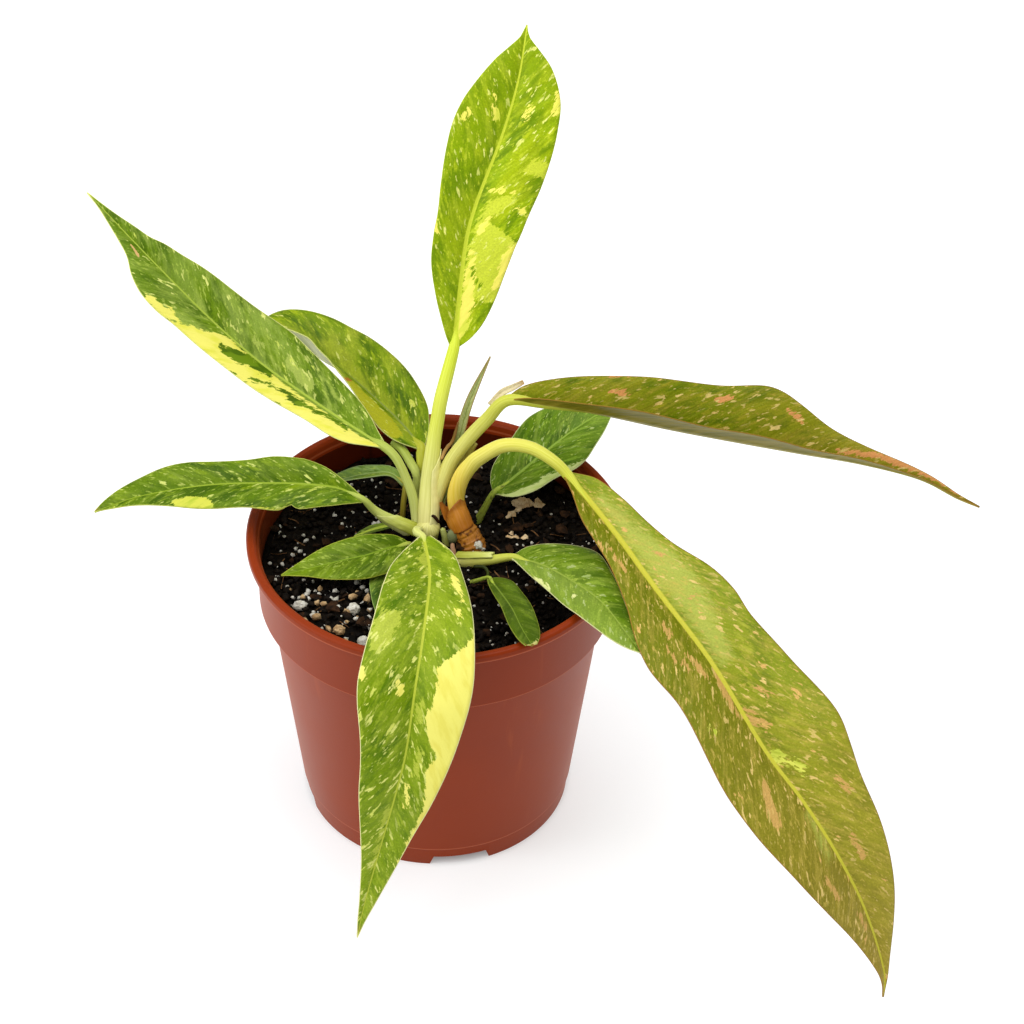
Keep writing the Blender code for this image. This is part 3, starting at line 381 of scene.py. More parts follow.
leaves["right_low"] = dict(
    spine=[(30, -6, 124), (41, -15, 128), (52, -28, 132), (64, -44, 135), (73, -62, 136), (79, -73, 135)],
    right=((-0.6, -0.75, -0.1), (-0.7, -0.7, -0.2)), fold=(12, 12, 8, 8), ripple=(0.4, 3),
    widths=[(0, 1.4, 1), (3, 5.2, 2.3), (8, 7.8, 4.6), (16, 10.8, 7.4), (27, 14.2, 9.7), (40, 15.2, 11.4),
        (55, 11.2, 12.4), (68, 7.2, 11.4), (80, 4.9, 8.7), (90, 2.6, 6), (96, 1, 3.2), (100, 0.2, 0.2)],
    greens=("#435e02", "#587406", "#738d22"), speckle=(0.635, "#a9b672"), fleck=(0.675, "#93a65c"),
    mottle=("#748c30", 0.35), margin=(0.4, "#cfd092"), rib=(0.6, "#86993a"),
    # the first tint is painted sheen: a grey-green wash over the right half
    tints=((-100, 0, 0, 0.5, "#869c3c"), (35, 0, 0.6, 0.1, "#4c6804")),
    cream=[[(24, 94, 120), (30, 84, 120), (36, 86, 120), (40, 94, 120)], [(50, 42, 50), (53, 50, 66)]],
    creamShades=("#cfd28a", "#b4be6c"))
leaves["back_right"] = dict(
    spine=[(22, 26, 130), (30, 32, 133), (42, 42, 138), (54, 52, 142), (66, 62, 144), (74, 68, 143)],
    right=((0.55, -0.82, -0.05), (0.55, -0.82, 0)), fold=(10, 10, 8, 8), ripple=(0.4, 3),
    widths=[(0, 1, 1.4), (3, 4.9, 6.9), (8, 8.6, 10.7), (16, 11.5, 13.7), (27, 13.6, 15.5), (40, 16, 18.9),
        (50, 17.3, 18.2), (60, 16.4, 15.4), (70, 12.4, 12.1), (80, 6.5, 7.6), (88, 3, 3.6), (94, 1.2, 1.3),
        (100, 0.2, 0.2)],
    greens=("#3e5c02", "#547204", "#709020"), speckle=(0.635, "#a3b46a"), fleck=(0.67, "#8fa650"),
    mottle=("#7a9a34", 0.35), margin=(0.4, "#c3cb8c"), rib=(0.9, "#85a03c"),
    tints=((35, 0, 0.5, 0.5, "#4a6604"), (50, 90, 0.5, 0.5, "#7d9a34")),
    cream=[[(0, 60, 120), (8, 70, 120), (20, 74, 120), (35, 84, 120), (50, 96, 120)]],
    creamShades=("#b4c078", "#9fb05c"))
leaves["back_left"] = dict(
    spine=[(-7, 35, 145), (-15, 47, 147), (-24.5, 58, 149.3), (-33, 67, 151.3), (-40.5, 75, 152.2),
        (-47.3, 80, 153), (-55, 85, 155), (-68, 89, 158), (-81, 90, 155.5)],
    right=((0.75, 0.65, 0.1), (0.55, 0.8, 0.1)), fold=(10, 14, 100, 14), ripple=(0.4, 3),
    widths=[(0, 1.3, 1.3), (3, 4.9, 4.6), (8, 9.5, 8.4), (16, 12.6, 13.2), (27, 13, 16.6), (40, 13, 18.4),
        (55, 13, 18.8), (70, 12, 17.3), (82, 8, 14.8), (92, 4.5, 10), (100, 0.2, 0.2)],
    greens=("#4a6600", "#688200", "#8a9e0e"), streak=(0.3, "#a9b430"), speckle=(0.635, "#cdd070"),
    fleck=(0.64, "#b9c04c"), mottle=("#9fa82c", 0.65), margin=(0.35, "#c9cd7c"), rib=(0.7, "#808e3c"),
    under=("#98a070", "#b4b88c"),
    tan=[[(8, -120, -35), (20, -120, -25), (34, -120, -35), (42, -120, -60)]], tanShade="#a3a41c",
    scar=[[(41, -120, -55), (43, -120, -60)]], scarShade="#a4671e")

patchKinds = ("cream", "tan", "islands", "pale", "scar")
vein = dict(slope=1.3, gap=4.6, height=0.11)    # a side vein runs forward by its slope for each mm outward
veinSine, veinStretch = 0.61, 1.64      # how much closer veins lie square to themselves, and longer along


class LeafFinish(Finish):
    # a leaf's waxy skin, its pattern drawn out along the side veins

    def __init__(self, name, roughness, seed, halfShift=0):
        super().__init__(name, roughness, specular=0.1)
        self.spot = self.add("UVMap", uv_map="surface")
        self.axes = self.add("SeparateXYZ", {0: self.spot}).outputs
        self.fromRib = self.calc("ABSOLUTE", self.axes["X"])
        along = self.calc("MULTIPLY_ADD", self.fromRib, -vein["slope"], self.axes["Y"])
        if halfShift:       # keeps the two halves from mirroring each other
            along = self.calc("MULTIPLY_ADD", self.calc("SIGN", self.axes["X"]), halfShift, along)
        self.veins = self.add("CombineXYZ", {0: along, 1: self.fromRib, 2: seed})

    def veinClouds(self, size, detail, crumple):
        drawn = self.stretch(self.veins, veinSine / size[0], veinStretch / size[1], 1)
        return self.clouds(drawn, 1, detail, crumple)

    def spots(self, size, low, high, detail=2, crumple=0.5):
        # size is a spot's width and length in millimetres
        return self.mask(self.veinClouds(size, detail, crumple), low, high)

    def patch(self, field, jag, size=(1.5, 5.5), soft=0.1):
        # a patch with its edge broken up along the veins; field is millimetres inside its outline
        moved = self.calc("MULTIPLY_ADD", self.veinClouds(size, 5, 0.7), jag * 2, field)
        return self.mask(moved, jag - soft, jag + soft)


# Layers of spots: width and length in millimetres, where the mask starts and is full, detail and crumple
leafSpots = dict(
    middle=((6, 13), 0.4, 0.54, 6, 0.62), light=((3.2, 9), 0.52, 0.68, 6, 0.62),
    mottle=((13, 26), 0.46, 0.62, 5, 0.6), streak=((2, 15), 0.48, 0.66, 5, 0.6),
    cream=((3, 9), 0.45, 0.65, 4), island=((3, 9), 0.45, 0.6), under=((2.5, 20), 0.35, 0.65, 3),
    grain=((1.5, 30), 0.2, 0.8, 1))


def leafSkin(name, leaf, length, seed):
    # living leaf: a waxy skin with a satin shine over green tissue, with cream cells along the veins
    skin = LeafFinish("leafSkin_" + name, leaf["roughness"], seed * 7.3, halfShift=60.0)
    spots, patch, jag, across = skin.spots, skin.patch, leaf["jag"], skin.axes["X"]
    share = skin.calc("MULTIPLY", skin.axes["Y"], 1 / length)
    fields = skin.add("SeparateXYZ", {0: skin.read("patches", "Vector")}).outputs

    def faded(mask, amount):
        return skin.calc("MULTIPLY", mask, amount)

    dark, middle, light = leaf["greens"]
    mottleShade, mottled = leaf["mottle"]
    colour = skin.layers(dark, (spots(*leafSpots["middle"]), middle), (spots(*leafSpots["light"]), light),
                         (faded(spots(*leafSpots["mottle"]), mottled), mottleShade))
    # tints: tones of the leaf, and on some leaves painted shade, light or sheen along one half
    for start, end, onLeft, onRight, shade in leaf["tints"]:
        amount = skin.ramp(across, -1.5, 1.5, onLeft, onRight)
        colour = skin.layers(colour, (faded(amount, skin.mask(share, start / 100, end / 100)), shade))
    # pale patches: paler tissue, and where soft-edged, painted sheen
    if leaf["pale"]:
        washed = patch(skin.read("pale"), jag * 1.4, (1.2, 5), leaf["paleSoft"])
        colour = skin.layers(colour, (faded(washed, 0.8), leaf["paleShade"]))
    crowding = skin.ramp(skin.clouds(skin.spot, 0.06), 0.38, 0.58, 0.35)
    (streak, streakShade), (speckle, speckleShade) = leaf["streak"], leaf["speckle"]
    (fleck, fleckShade), (faint, faintAmount) = leaf["fleck"], leaf["faint"]
    colour = skin.layers(
        colour, (faded(spots(*leafSpots["streak"]), streak), streakShade),
        (faded(spots((1, 2.4), faint, faint + 0.08), faintAmount), streakShade),
        (patch(fields["Y"], jag, (1.2, 7)), leaf["tanShade"]),
        (spots((4, 10), fleck, fleck + 0.03, 4, 0.6), fleckShade),
        (faded(spots((1.7, 4.6), speckle, speckle + 0.05, 3), crowding), speckleShade))
    pebbles = skin.clouds(skin.spot, 1.3, 3, 0.6)
    colour = skin.add("HueSaturation", {"Color": colour, "Value": skin.ramp(pebbles, 0.3, 0.7, 0.84, 1.14)})
    creamA, creamB = leaf["creamShades"]
    ribWidth, ribShade = leaf["rib"]
    marginWidth, marginShade = leaf["margin"]
    ribGap = skin.calc("DIVIDE", skin.fromRib, skin.ramp(share, 0, 1, ribWidth, ribWidth * 0.25))
    colour = skin.layers(
        colour, (patch(fields["X"], jag), skin.layers(creamA, (spots(*leafSpots["cream"]), creamB))),
        (patch(fields["Z"], jag * 1.3, (1.4, 5)), skin.layers(middle, (spots(*leafSpots["island"]), dark))),
        (patch(skin.read("scar"), 0.8, (0.8, 2)), leaf["scarShade"]), (skin.mask(ribGap, 1, 0.55), ribShade),
        (skin.mask(skin.read("marginGap"), marginWidth, marginWidth * 0.4), marginShade))
    relief = skin.calc("MULTIPLY_ADD", pebbles, 0.6, spots(*leafSpots["grain"]))
    return skin.done(colour, relief, 0.5, 0.3)


def leafUnderside(name, leaf, seed):
    # the dull, paler lower skin, with a raised midrib
    skin = LeafFinish("leafUnderside_" + name, 0.45, seed * 3.1)
    first, second = leaf["under"]
    colour = skin.layers(first, (skin.spots(*leafSpots["under"]), second),
                         (skin.mask(skin.fromRib, leaf["rib"][0] * 1.3, 0.3), leaf["underRib"]))
    return skin.done(colour, skin.spots(*leafSpots["grain"]), 0.4, 0.3)


def patchDepth(bands, t, side, half, length):
    # millimetres inside the nearest of these bands, below zero outside them all
    deepest = -9.0
    for stations in bands:
        first, last = stations[0][0], stations[-1][0]
        inner, outer = between(stations, min(max(t, first), last))
        depth = min((side - inner) * half, (outer - side) * half, (t - first) * length, (last - t) * length)
        deepest = max(deepest, depth)
    return deepest


def smoothWidths(widths, t):
    # the half widths left and right, on a smooth curve through the stations
    k = min(max(bisect.bisect_right([w[0] for w in widths], t) - 1, 0), len(widths) - 2)
    before, low, high, after = [widths[min(max(i, 0), len(widths) - 1)] for i in range(k - 1, k + 3)]
    span = high[0] - low[0]
    u = (t - low[0]) / span
    halves = []
    for side in (1, 2):
        slopeLow = (high[side] - before[side]) / (high[0] - before[0]) * span
        slopeHigh = (after[side] - low[side]) / (after[0] - low[0]) * span
        value = ((2 * u ** 3 - 3 * u ** 2 + 1) * low[side] + (u ** 3 - 2 * u ** 2 + u) * slopeLow
                 + (3 * u ** 2 - 2 * u ** 3) * high[side] + (u ** 3 - u ** 2) * slopeHigh)
        halves.append(max(value, 0.15))
    return halves


# lag is the angle by which the right half's waves run ahead, and stand how far a blade lies above its line.
# groove is the sunk midrib's width at the stalk and what it loses by the tip, thicker the same for the part
# that is thicker, and veinFade how far from the midrib and the margin the veins reach their full height
blade = dict(lag=1.3, stand=0.2, groove=(2.2, 1.6), thicker=(1.5, 0.9), veinFade=(4, 3))


def buildBlade(name, skinName, leaf, node, seed, step=1.7, ribDepth=0.35, belly=0.07, thick=(0.4, 1.4)):
    leaf = {**plainLeaf, **leaf}
    line = SmoothLine(leaf["spine"])
    length, (height, waves) = line.length, leaf["ripple"]
    widths = [(place / 100, *halves) for place, *halves in leaf["widths"]]
    bands = {kind: [[[v / 100 for v in station] for station in band] for band in leaf[kind]]
             for kind in patchKinds}
    widest = max(max(w[1:]) for w in widths)
    (groove, grooveTaper), (thicker, thickerTaper) = blade["groove"], blade["thicker"]
    fadeIn, fadeOut = blade["veinFade"]
    bm = bmesh.new()
    bmesh.ops.create_grid(bm, x_segments=max(16, round(length / step)),
                          y_segments=2 * max(4, round(widest / step)), size=1)
    marginGap, scar, pale = [bm.verts.layers.float.new(layer) for layer in ("marginGap", "scar", "pale")]
    patches = bm.verts.layers.float_vector.new("patches")
    weight = bm.verts.layers.deform.new()
    places, frames = {}, {}
    for vert in bm.verts:
        t, side = (vert.co.x + 1) / 2, vert.co.y
        if t not in frames:
            right = squareTo(line.along(t), Vector(leaf["right"][0]).lerp(Vector(leaf["right"][1]), t))
            frames[t] = line.at(t), right, right.cross(line.along(t)), smoothWidths(widths, t)
        origin, right, up, halves = frames[t]
        isRight = side > 0
        half = halves[isRight]
        fold = math.radians(leaf["fold"][isRight] * (1 - t) + leaf["fold"][2 + isRight] * t)
        out = abs(side) * half
        # folded up from the midrib, wavy towards the margin, each half swollen, sunk along the midrib, veined
        wave = 2 * math.pi * waves * t + (blade["lag"] if isRight else 0)
        rise = out * math.sin(fold) + blade["stand"]
        rise += height * side ** 2 * math.sin(wave) * math.sin(math.pi * t)
        rise += belly * half * (abs(side) - side ** 2) * 4 * min(1, 6 * t)
        rise -= ribDepth * math.exp(-(out / (groove - grooveTaper * t)) ** 2) * (1 - 0.5 * t)
        turns = (t * length - vein["slope"] * out) * veinSine / vein["gap"]
        ridge = vein["height"] * math.sin(2 * math.pi * turns) * min(1, out / fadeIn)
        rise += ridge * min(1, (half - out) / fadeOut)
        vert.co = origin + right * math.copysign(out * math.cos(fold), side) + up * rise
        places[vert] = (math.copysign(out, side), t * length)
        depths = {kind: patchDepth(bands[kind], t, side, half, length) for kind in patchKinds}
        vert[marginGap], vert[scar], vert[pale] = half - out, depths["scar"], depths["pale"]
        vert[patches] = depths["cream"], depths["tan"], depths["islands"]
        rib = math.exp(-(out / (thicker - thickerTaper * t)) ** 2) * (1 - 0.75 * t)
        vert[weight][0] = (thick[0] + (thick[1] - thick[0]) * rib) / thick[1]
    bmesh.ops.reverse_faces(bm, faces=bm.faces[:])
    laySurface(bm, places)
    skins = [leafSkin(skinName, leaf, length, seed), leafUnderside(skinName, leaf, seed)]
    piece = finishPiece(name, bm, skins, node, leaf["slot"], outward=False)
    piece.vertex_groups.new(name="thickness")
    shell = addShell(piece, thick[1], -1)
    shell.use_even_offset = False
    shell.vertex_group, shell.thickness_vertex_group, shell.material_offset = "thickness", 0, 1


for seed, (leafName, leaf) in enumerate(leaves.items(), 1):
    buildBlade(leafName + "_blade", leafName, leaf, leafName + "_leaf", seed)
print("leaves:", len(leaves))


def stalkFlesh(name, *shades, roughness=0.4, lines=0.5, blotch=None, specular=0.15):
    # juicy plant stalk: smooth, faintly striped along its length, with a soft shine
    skin = Finish(name, roughness, specular)
    spot, share, colour = skin.add("UVMap", uv_map="surface"), skin.read("share"), shades[0][1]
    for (low, _), (high, shade) in zip(shades, shades[1:]):
        colour = skin.layers(colour, (skin.mask(share, low, high), shade))
    stripes = skin.clouds(skin.stretch(spot, 1.4, 0.05, 1), 1, 3)
    paler, darker = [skin.add("HueSaturation", {"Color": colour, "Value": value, "Saturation": saturation})
                     for value, saturation in ((1.06, 0.96), (0.93, 1.03))]
    colour = skin.layers(darker, (skin.mask(stripes, 0.5 - 0.3 * lines, 0.5 + 0.3 * lines), paler))
    if blotch:
        colour = skin.layers(colour, (skin.mask(skin.clouds(spot, 0.35, 5, 0.6), 0.52, 0.62), blotch))
    return skin.done(colour, stripes, 0.2, 0.1)


rodForm = dict(grooveTurn=0.55, knobSize=2.4)       # half the groove's width in radians, a knob's size in mm


def buildRod(name, points, radii, material, node=None, slot="petiole_green", sides=20, spacing=1.6,
             upward=(0, -0.3, 1), channel=0.0, dome=(0.8, 0.0), knobs=0.0, rings=()):
    # a stalk: channel is the groove along its top, dome how round its ends are, rings its scars or joints
    line = SmoothLine(points)
    bm = bmesh.new()
    bmesh.ops.create_cone(bm, cap_ends=True, segments=sides, radius1=1, radius2=1, depth=1)
    lengthwise = [e for e in bm.edges if abs(e.verts[0].co.z - e.verts[1].co.z) > 0.5]
    bmesh.ops.subdivide_edges(bm, edges=lengthwise, cuts=max(6, round(line.length / spacing)))
    share = bm.verts.layers.float.new("share")
    surface = bm.loops.layers.uv.new("surface")
    angles = {}
    for vert in bm.verts:
        t = min(max(vert.co.z + 0.5, 0), 1)
        turn = math.atan2(vert.co.y, vert.co.x)
        up, other = line.across(t, upward)
        radius = between(evenly(radii), t)[0]
        fromStart, fromEnd = t * line.length, (1 - t) * line.length
        for gap, roundness in ((fromStart, dome[0]), (fromEnd, dome[1])):
            if roundness and gap < roundness * radius:
                radius *= math.sqrt(max(0.02, 1 - (1 - gap / (roundness * radius)) ** 2))
        radius *= 1 - channel * math.exp(-(turn / rodForm["grooveTurn"]) ** 2)
        for place, swell, width in rings:
            radius *= 1 + swell * math.exp(-((fromStart - place) / width) ** 2)
        centre = line.at(t)
        place = centre + radius * (math.cos(turn) * up + math.sin(turn) * other)
        if knobs:
            place += knobs * noise.noise(place / rodForm["knobSize"]) * (place - centre).normalized()
        vert.co = place
        vert[share] = t
        angles[vert] = (turn, fromStart)
    for face in bm.faces:
        middle = math.atan2(sum(math.sin(angles[l.vert][0]) for l in face.loops),
                            sum(math.cos(angles[l.vert][0]) for l in face.loops))
        for loop in face.loops:
            turn, gone = angles[loop.vert]
            turn = middle + (turn - middle + math.pi) % (2 * math.pi) - math.pi
            loop[surface].uv = (turn * radii[0], gone)
    finishPiece(name, bm, [material], node, slot)


greenStalk = stalkFlesh("petioleGreen", (0, "#c6c886"), (0.4, "#acb650"), (1, "#8aa01c"))
paleStalk = stalkFlesh("petiolePaleGreen", (0, "#d3cc80"), (0.25, "#d5d47a"), (0.55, "#d3da54"),
                       (0.85, "#cbd83c"), (1, "#bfcd30"))
longStalk = stalkFlesh("petiolePaleToOlive", (0, "#d3cc84"), (0.3, "#cfcb6c"), (0.7, "#bcc044"),
                       (1, "#8c9526"))
yellowStalk = stalkFlesh("petioleYellow", (0, "#d9a838"), (0.12, "#e3c54c"), (0.35, "#d8cf60"),
                         (0.65, "#cfce54"), (0.85, "#c6ca42"), (1, "#bcbc3c"))
slimStalk = stalkFlesh("petioleCreamToGreen", (0, "#d0d08c"), (0.35, "#bcc468"), (1, "#97a93a"))
kneeStalk = stalkFlesh("petioleKnee", (0, "#c3c37c"), (0.5, "#ccd078"), (1, "#b9c44c"))
brownStalk = stalkFlesh("petioleYellowBrown", (0, "#7a5a1c"), (0.4, "#9a8a2e"), (1, "#a8a848"))
lowStalk = stalkFlesh("petioleLowGreen", (0, "#c0bc62"), (0.5, "#bcc04c"), (1, "#b0ba44"))
limeStalk = stalkFlesh("petioleYellowGreen", (0, "#bcb94c"), (0.6, "#b4b63a"), (1, "#a3ac26"))
sideStalk = stalkFlesh("petioleSpotted", (0, "#7d8438"), (0.4, "#93a23a"), (1, "#a5ba3c"), blotch="#6d7530")

# reach is how far a stalk runs on as the start of its leaf's midrib, channel the groove along its top
stalks = {
    "upright": dict(
        points=[(-4.3, 10, 121.4), (-3.8, 12, 126.5), (-3.6, 20, 138), (-2.2, 27.5, 152), (-0.7, 32.5, 161.4),
                (0.9, 37, 170), (5.5, 48, 186)], radii=[4, 4.2, 3.8, 3.3, 2.85, 2.8, 2.75, 2.6, 2.3],
        material=paleStalk, slot="petiole_pale_green", channel=0.05),
    "upper_right": dict(
        points=[(-3.6, 14, 123), (-1.4, 17.8, 132.8), (1.6, 21, 140.3), (5.3, 24, 148.1), (11.4, 25.5, 157.2),
                (18.8, 26, 167.1), (27, 26, 177)], radii=[3, 3.2, 3.1, 2.9, 2.8, 2.7, 2.4],
        material=longStalk, slot="petiole_pale_green", channel=0.08, reach=34),
    "big_right": dict(
        points=[(8.8, 13.2, 126.8), (7.2, 14.5, 133.9), (7.5, 15.5, 139.8), (9.4, 16.5, 145.7),
                (12.6, 17.2, 150.8), (16.5, 17, 155.4), (25.7, 16, 162.3), (36, 13, 163.9), (45, 9, 160.8),
                (51, 6, 156)],
        radii=[3.3, 3.5, 3.4, 3.05, 2.85, 2.65, 2.4, 2.1], material=yellowStalk, slot="petiole_yellow",
        channel=0.06, reach=22),
    "upper_left": dict(
        points=[(-7.8, 12, 119), (-8.6, 14.6, 126), (-10.1, 17, 134.5), (-13, 20, 142.3), (-17, 23, 149.7),
                (-22, 26, 153)], radii=[2.3, 2.1, 1.9, 1.8, 1.8, 1.8], material=slimStalk),
    "lower_left": dict(points=[(-10, 11, 122), (-19, 9, 129), (-25, 8, 135), (-29, 7, 141)],
                       radii=[3.5, 2.8, 1.8, 1.3], material=slimStalk),
    "back_left": dict(points=[(-5.5, 24, 121), (-6.8, 29, 139), (-7.2, 33, 143.5), (-7, 35, 145)],
                      radii=[1.8, 1.8, 1.9, 2.1], material=limeStalk),
    "hidden_back": dict(
        points=[(-9, 24, 120), (-8.6, 25, 137.7), (-11.3, 30, 141.3), (-15.1, 36, 143.5), (-18.3, 40, 143.3)],
        radii=[2, 1.9, 1.8, 1.8, 1.8], material=slimStalk),
    "narrow_back_left": dict(points=[(-14.5, 21, 114), (-14, 22, 126), (-13.5, 25, 134)], radii=[1.3, 1.2, 1],
                             material=brownStalk),
    "front": dict(points=[(-6.4, 7, 126), (-8, 4.6, 127.8), (-7.8, 1.9, 128.6), (-5.5, -0.6, 129.1)],
                  radii=[1.7, 1.8, 1.7, 1.4], material=kneeStalk, reach=6),
    "front_left_small": dict(points=[(-8.5, 3, 113), (-9.5, 2.4, 119.5), (-11, 2, 122.6)],
                             radii=[1.5, 1.4, 1.2]),
    "sliver": dict(points=[(-12, 18, 117), (-14.5, 18, 119.8), (-17, 16, 121)], radii=[1.1, 1, 0.9]),
    "hidden_front": dict(points=[(-6.5, 0.5, 116.5), (-8.8, -0.8, 119.5), (-11, -2, 121)],
                         radii=[1.2, 1.1, 1]),
    "right_low": dict(points=[(7.5, -0.5, 116.4), (13.5, -2.6, 118.6), (21.5, -4.6, 121), (30, -6, 123.8)],
                      radii=[3.2, 2.9, 2, 1.5], material=lowStalk),
    "front_right_small": dict(
        points=[(9.5, -13.5, 113.5), (13, -14.8, 117.4), (16.8, -16.2, 120.4), (20.8, -17.6, 123)],
        radii=[1.05, 1, 0.9, 0.8], material=sideStalk),
    "back_right": dict(points=[(14, 22.5, 114), (18, 24.5, 122), (22, 26, 130)], radii=[1.9, 1.45, 1.15],
                       material=sideStalk)}


def runUnderBlade(leaf, points, radii, reach):
    # the stalk runs on under the blade and dies away as the start of its midrib
    midrib, tip = SmoothLine(leaf["spine"]), 0.5
    upward = Vector(leaf["right"][0]).cross(midrib.along(0)).normalized()
    reach = min(reach, 0.2 * midrib.length)
    own = SmoothLine(points).length
    points = points + [tuple(midrib.at(share * reach / midrib.length) - upward * depth)
                       for share, depth in ((0.45, radii[-1] * 0.5), (1, tip + 0.25))]
    whole = SmoothLine(points).length
    stations = [(own / whole * share, radius) for share, radius in evenly(radii)] + [(1, tip)]
    return points, [between(stations, i / 40)[0] for i in range(41)], upward


for stalkName, stalk in stalks.items():
    stalk = {"material": greenStalk, "upward": (0, 0.4, 1), "channel": 0.16, "reach": 13, **stalk}
    reach = stalk.pop("reach")
    if stalkName in leaves:
        stalk["points"], stalk["radii"], stalk["upward"] = runUnderBlade(
            leaves[stalkName], stalk["points"], stalk["radii"], reach)
    buildRod(stalkName + "_stalk", node=stalkName + "_petiole", **stalk)
print("stalks:", len(stalks))

# Firm crown flesh, glossy old bark, crisp paper sheath, thin pale skins, matt root, waxy bud and dried edges
crownFlesh = stalkFlesh("crownFlesh", (0, "#6d6428"), (0.72, "#a39c4a"), (0.85, "#c4bf68"), (1, "#cfcb7c"),
                        lines=0.2)
oldStemBark = stalkFlesh("oldStemSkin", (0, "#4c2c0c"), (0.5, "#7a4816"), (0.75, "#a0651e"), (1, "#b0721f"),
                         roughness=0.32, lines=0.9, blotch="#6a3c12", specular=0.35)
dryPaper = stalkFlesh("drySheathOrange", (0, "#7a4008"), (0.12, "#b06a14"), (0.7, "#c07c24"), (1, "#9c5c18"),
                      roughness=0.38, lines=0.8, blotch="#b47020", specular=0.3)
membrane = stalkFlesh("paleSheathMembrane", (0, "#dcd592"), (0.6, "#e0d98a"), (1, "#e6e294"), roughness=0.35)
rootSkin = stalkFlesh("rootSkin", (0, "#7a5638"), (1, "#a37c5c"), roughness=0.7)
budSkin = stalkFlesh("budGreyGreen", (0, "#7d8458"), (1, "#8f9668"), roughness=0.35)
palePulp = stalkFlesh("stubFlesh", (0, "#5c5820"), (0.5, "#858840"), (1, "#a3aa5c"))
stripFlesh = stalkFlesh("brokenSheathFlesh", (0, "#a3a83c"), (0.7, "#b9bf5a"), (1, "#cdd27c"))
darkScar = stalkFlesh("driedScar", (0, "#241208"), (1, "#3a200e"), roughness=0.7)
sproutSkin = stalkFlesh("sproutSkin", (0, "#262e08"), (1, "#3a4410"))
dryEdge = stalkFlesh("dryEdgeTan", (0, "#7d5c30"), (0.6, "#96713a"), (1, "#a8854e"), roughness=0.5)

# rings are (place along the rod, swelling, width)
rods = {
    "crown_stem": dict(
        points=[(-3, 13, 98), (-3, 13, 110), (-3.5, 11, 118), (-3.8, 9, 128.4)],
        radii=[5.5, 5.5, 5.5, 5.5, 5, 4, 4, 4.8, 4.4], material=crownFlesh, node="main_stem",
        slot="petiole_pale_green", sides=40, spacing=0.5, dome=(0, 0.9), knobs=0.25,
        rings=[(25.2, 0.03, 0.5)]),
    "old_woody_stem": dict(
        points=[(15, 6.5, 98), (15, 6.5, 110), (14, 7, 117), (12.2, 8.6, 121.4), (9.8, 10.2, 125.6)],
        radii=[5, 6, 5.9, 5.2, 4.3], material=oldStemBark, node="old_stem", slot="stem_brown", sides=44,
        spacing=0.3, dome=(0, 0), knobs=0.5,
        rings=[(14, 0.06, 0.4), (15.9, 0.06, 0.35), (17.5, 0.07, 0.4), (19.3, 0.06, 0.35), (20.9, 0.06, 0.35),
               (22.6, 0.05, 0.35), (25.6, -0.07, 0.4)]),
    "pale_side_stub": dict(
        points=[(4.4, 5.8, 112), (3.2, 6.8, 120.3), (1.9, 8.2, 126.2)], radii=[1.5, 1.4, 1.1],
        material=palePulp, node="pale_stub", slot="petiole_pale_green", sides=16, spacing=0.6, dome=(0, 0.5),
        knobs=0.2),
    "aerial_root_stub": dict(
        points=[(8.2, -3.4, 114), (7.2, -0.7, 117.4), (5.8, 4.6, 121.4)], radii=[1, 1, 0.9],
        material=rootSkin, node="root_stub", slot="stem_brown", sides=14, spacing=0.4, dome=(0, 0.9),
        knobs=0.35),
    "thin_dark_sprout": dict(
        points=[(14.6, -7.4, 119.6), (18.8, -8.4, 120.2), (20.4, -11.4, 119.6), (19.2, -15.6, 119.6)],
        radii=[0.75, 0.7, 0.6, 0.45], material=sproutSkin, sides=12, spacing=0.6, dome=(0.8, 0.8)),
    "column_scar": dict(
        points=[(-2.9, 10.2, 129.8), (-1.8, 9.6, 131), (-0.6, 9.5, 129.8), (0.5, 9.9, 127.2)],
        radii=[0.35, 0.55, 0.7, 0.65, 0.4], material=darkScar, slot="stem_brown", sides=10, spacing=0.3,
        dome=(0.8, 0.8)),
    "spear_dry_edge": dict(
        points=[(7.6, 35, 158.6), (6.3, 33, 154.1), (5, 31.2, 150.9), (2.8, 28, 150.2), (1, 23.6, 148.4)],
        radii=[0.35, 0.6, 0.75, 0.7, 0.5], material=dryEdge, slot="sheath_tan", sides=10, spacing=0.6,
        dome=(0.8, 0.8), knobs=0.3)}
for rodName, rod in rods.items():
    buildRod(rodName, **rod)


# how often a torn edge goes in and out, where flare and curl begin, and the height and length of its bumps
wrapForm = dict(tears=(1.7, 6), flareFrom=0.55, curlFrom=0.6, bump=0.18, bumpLength=2.5)


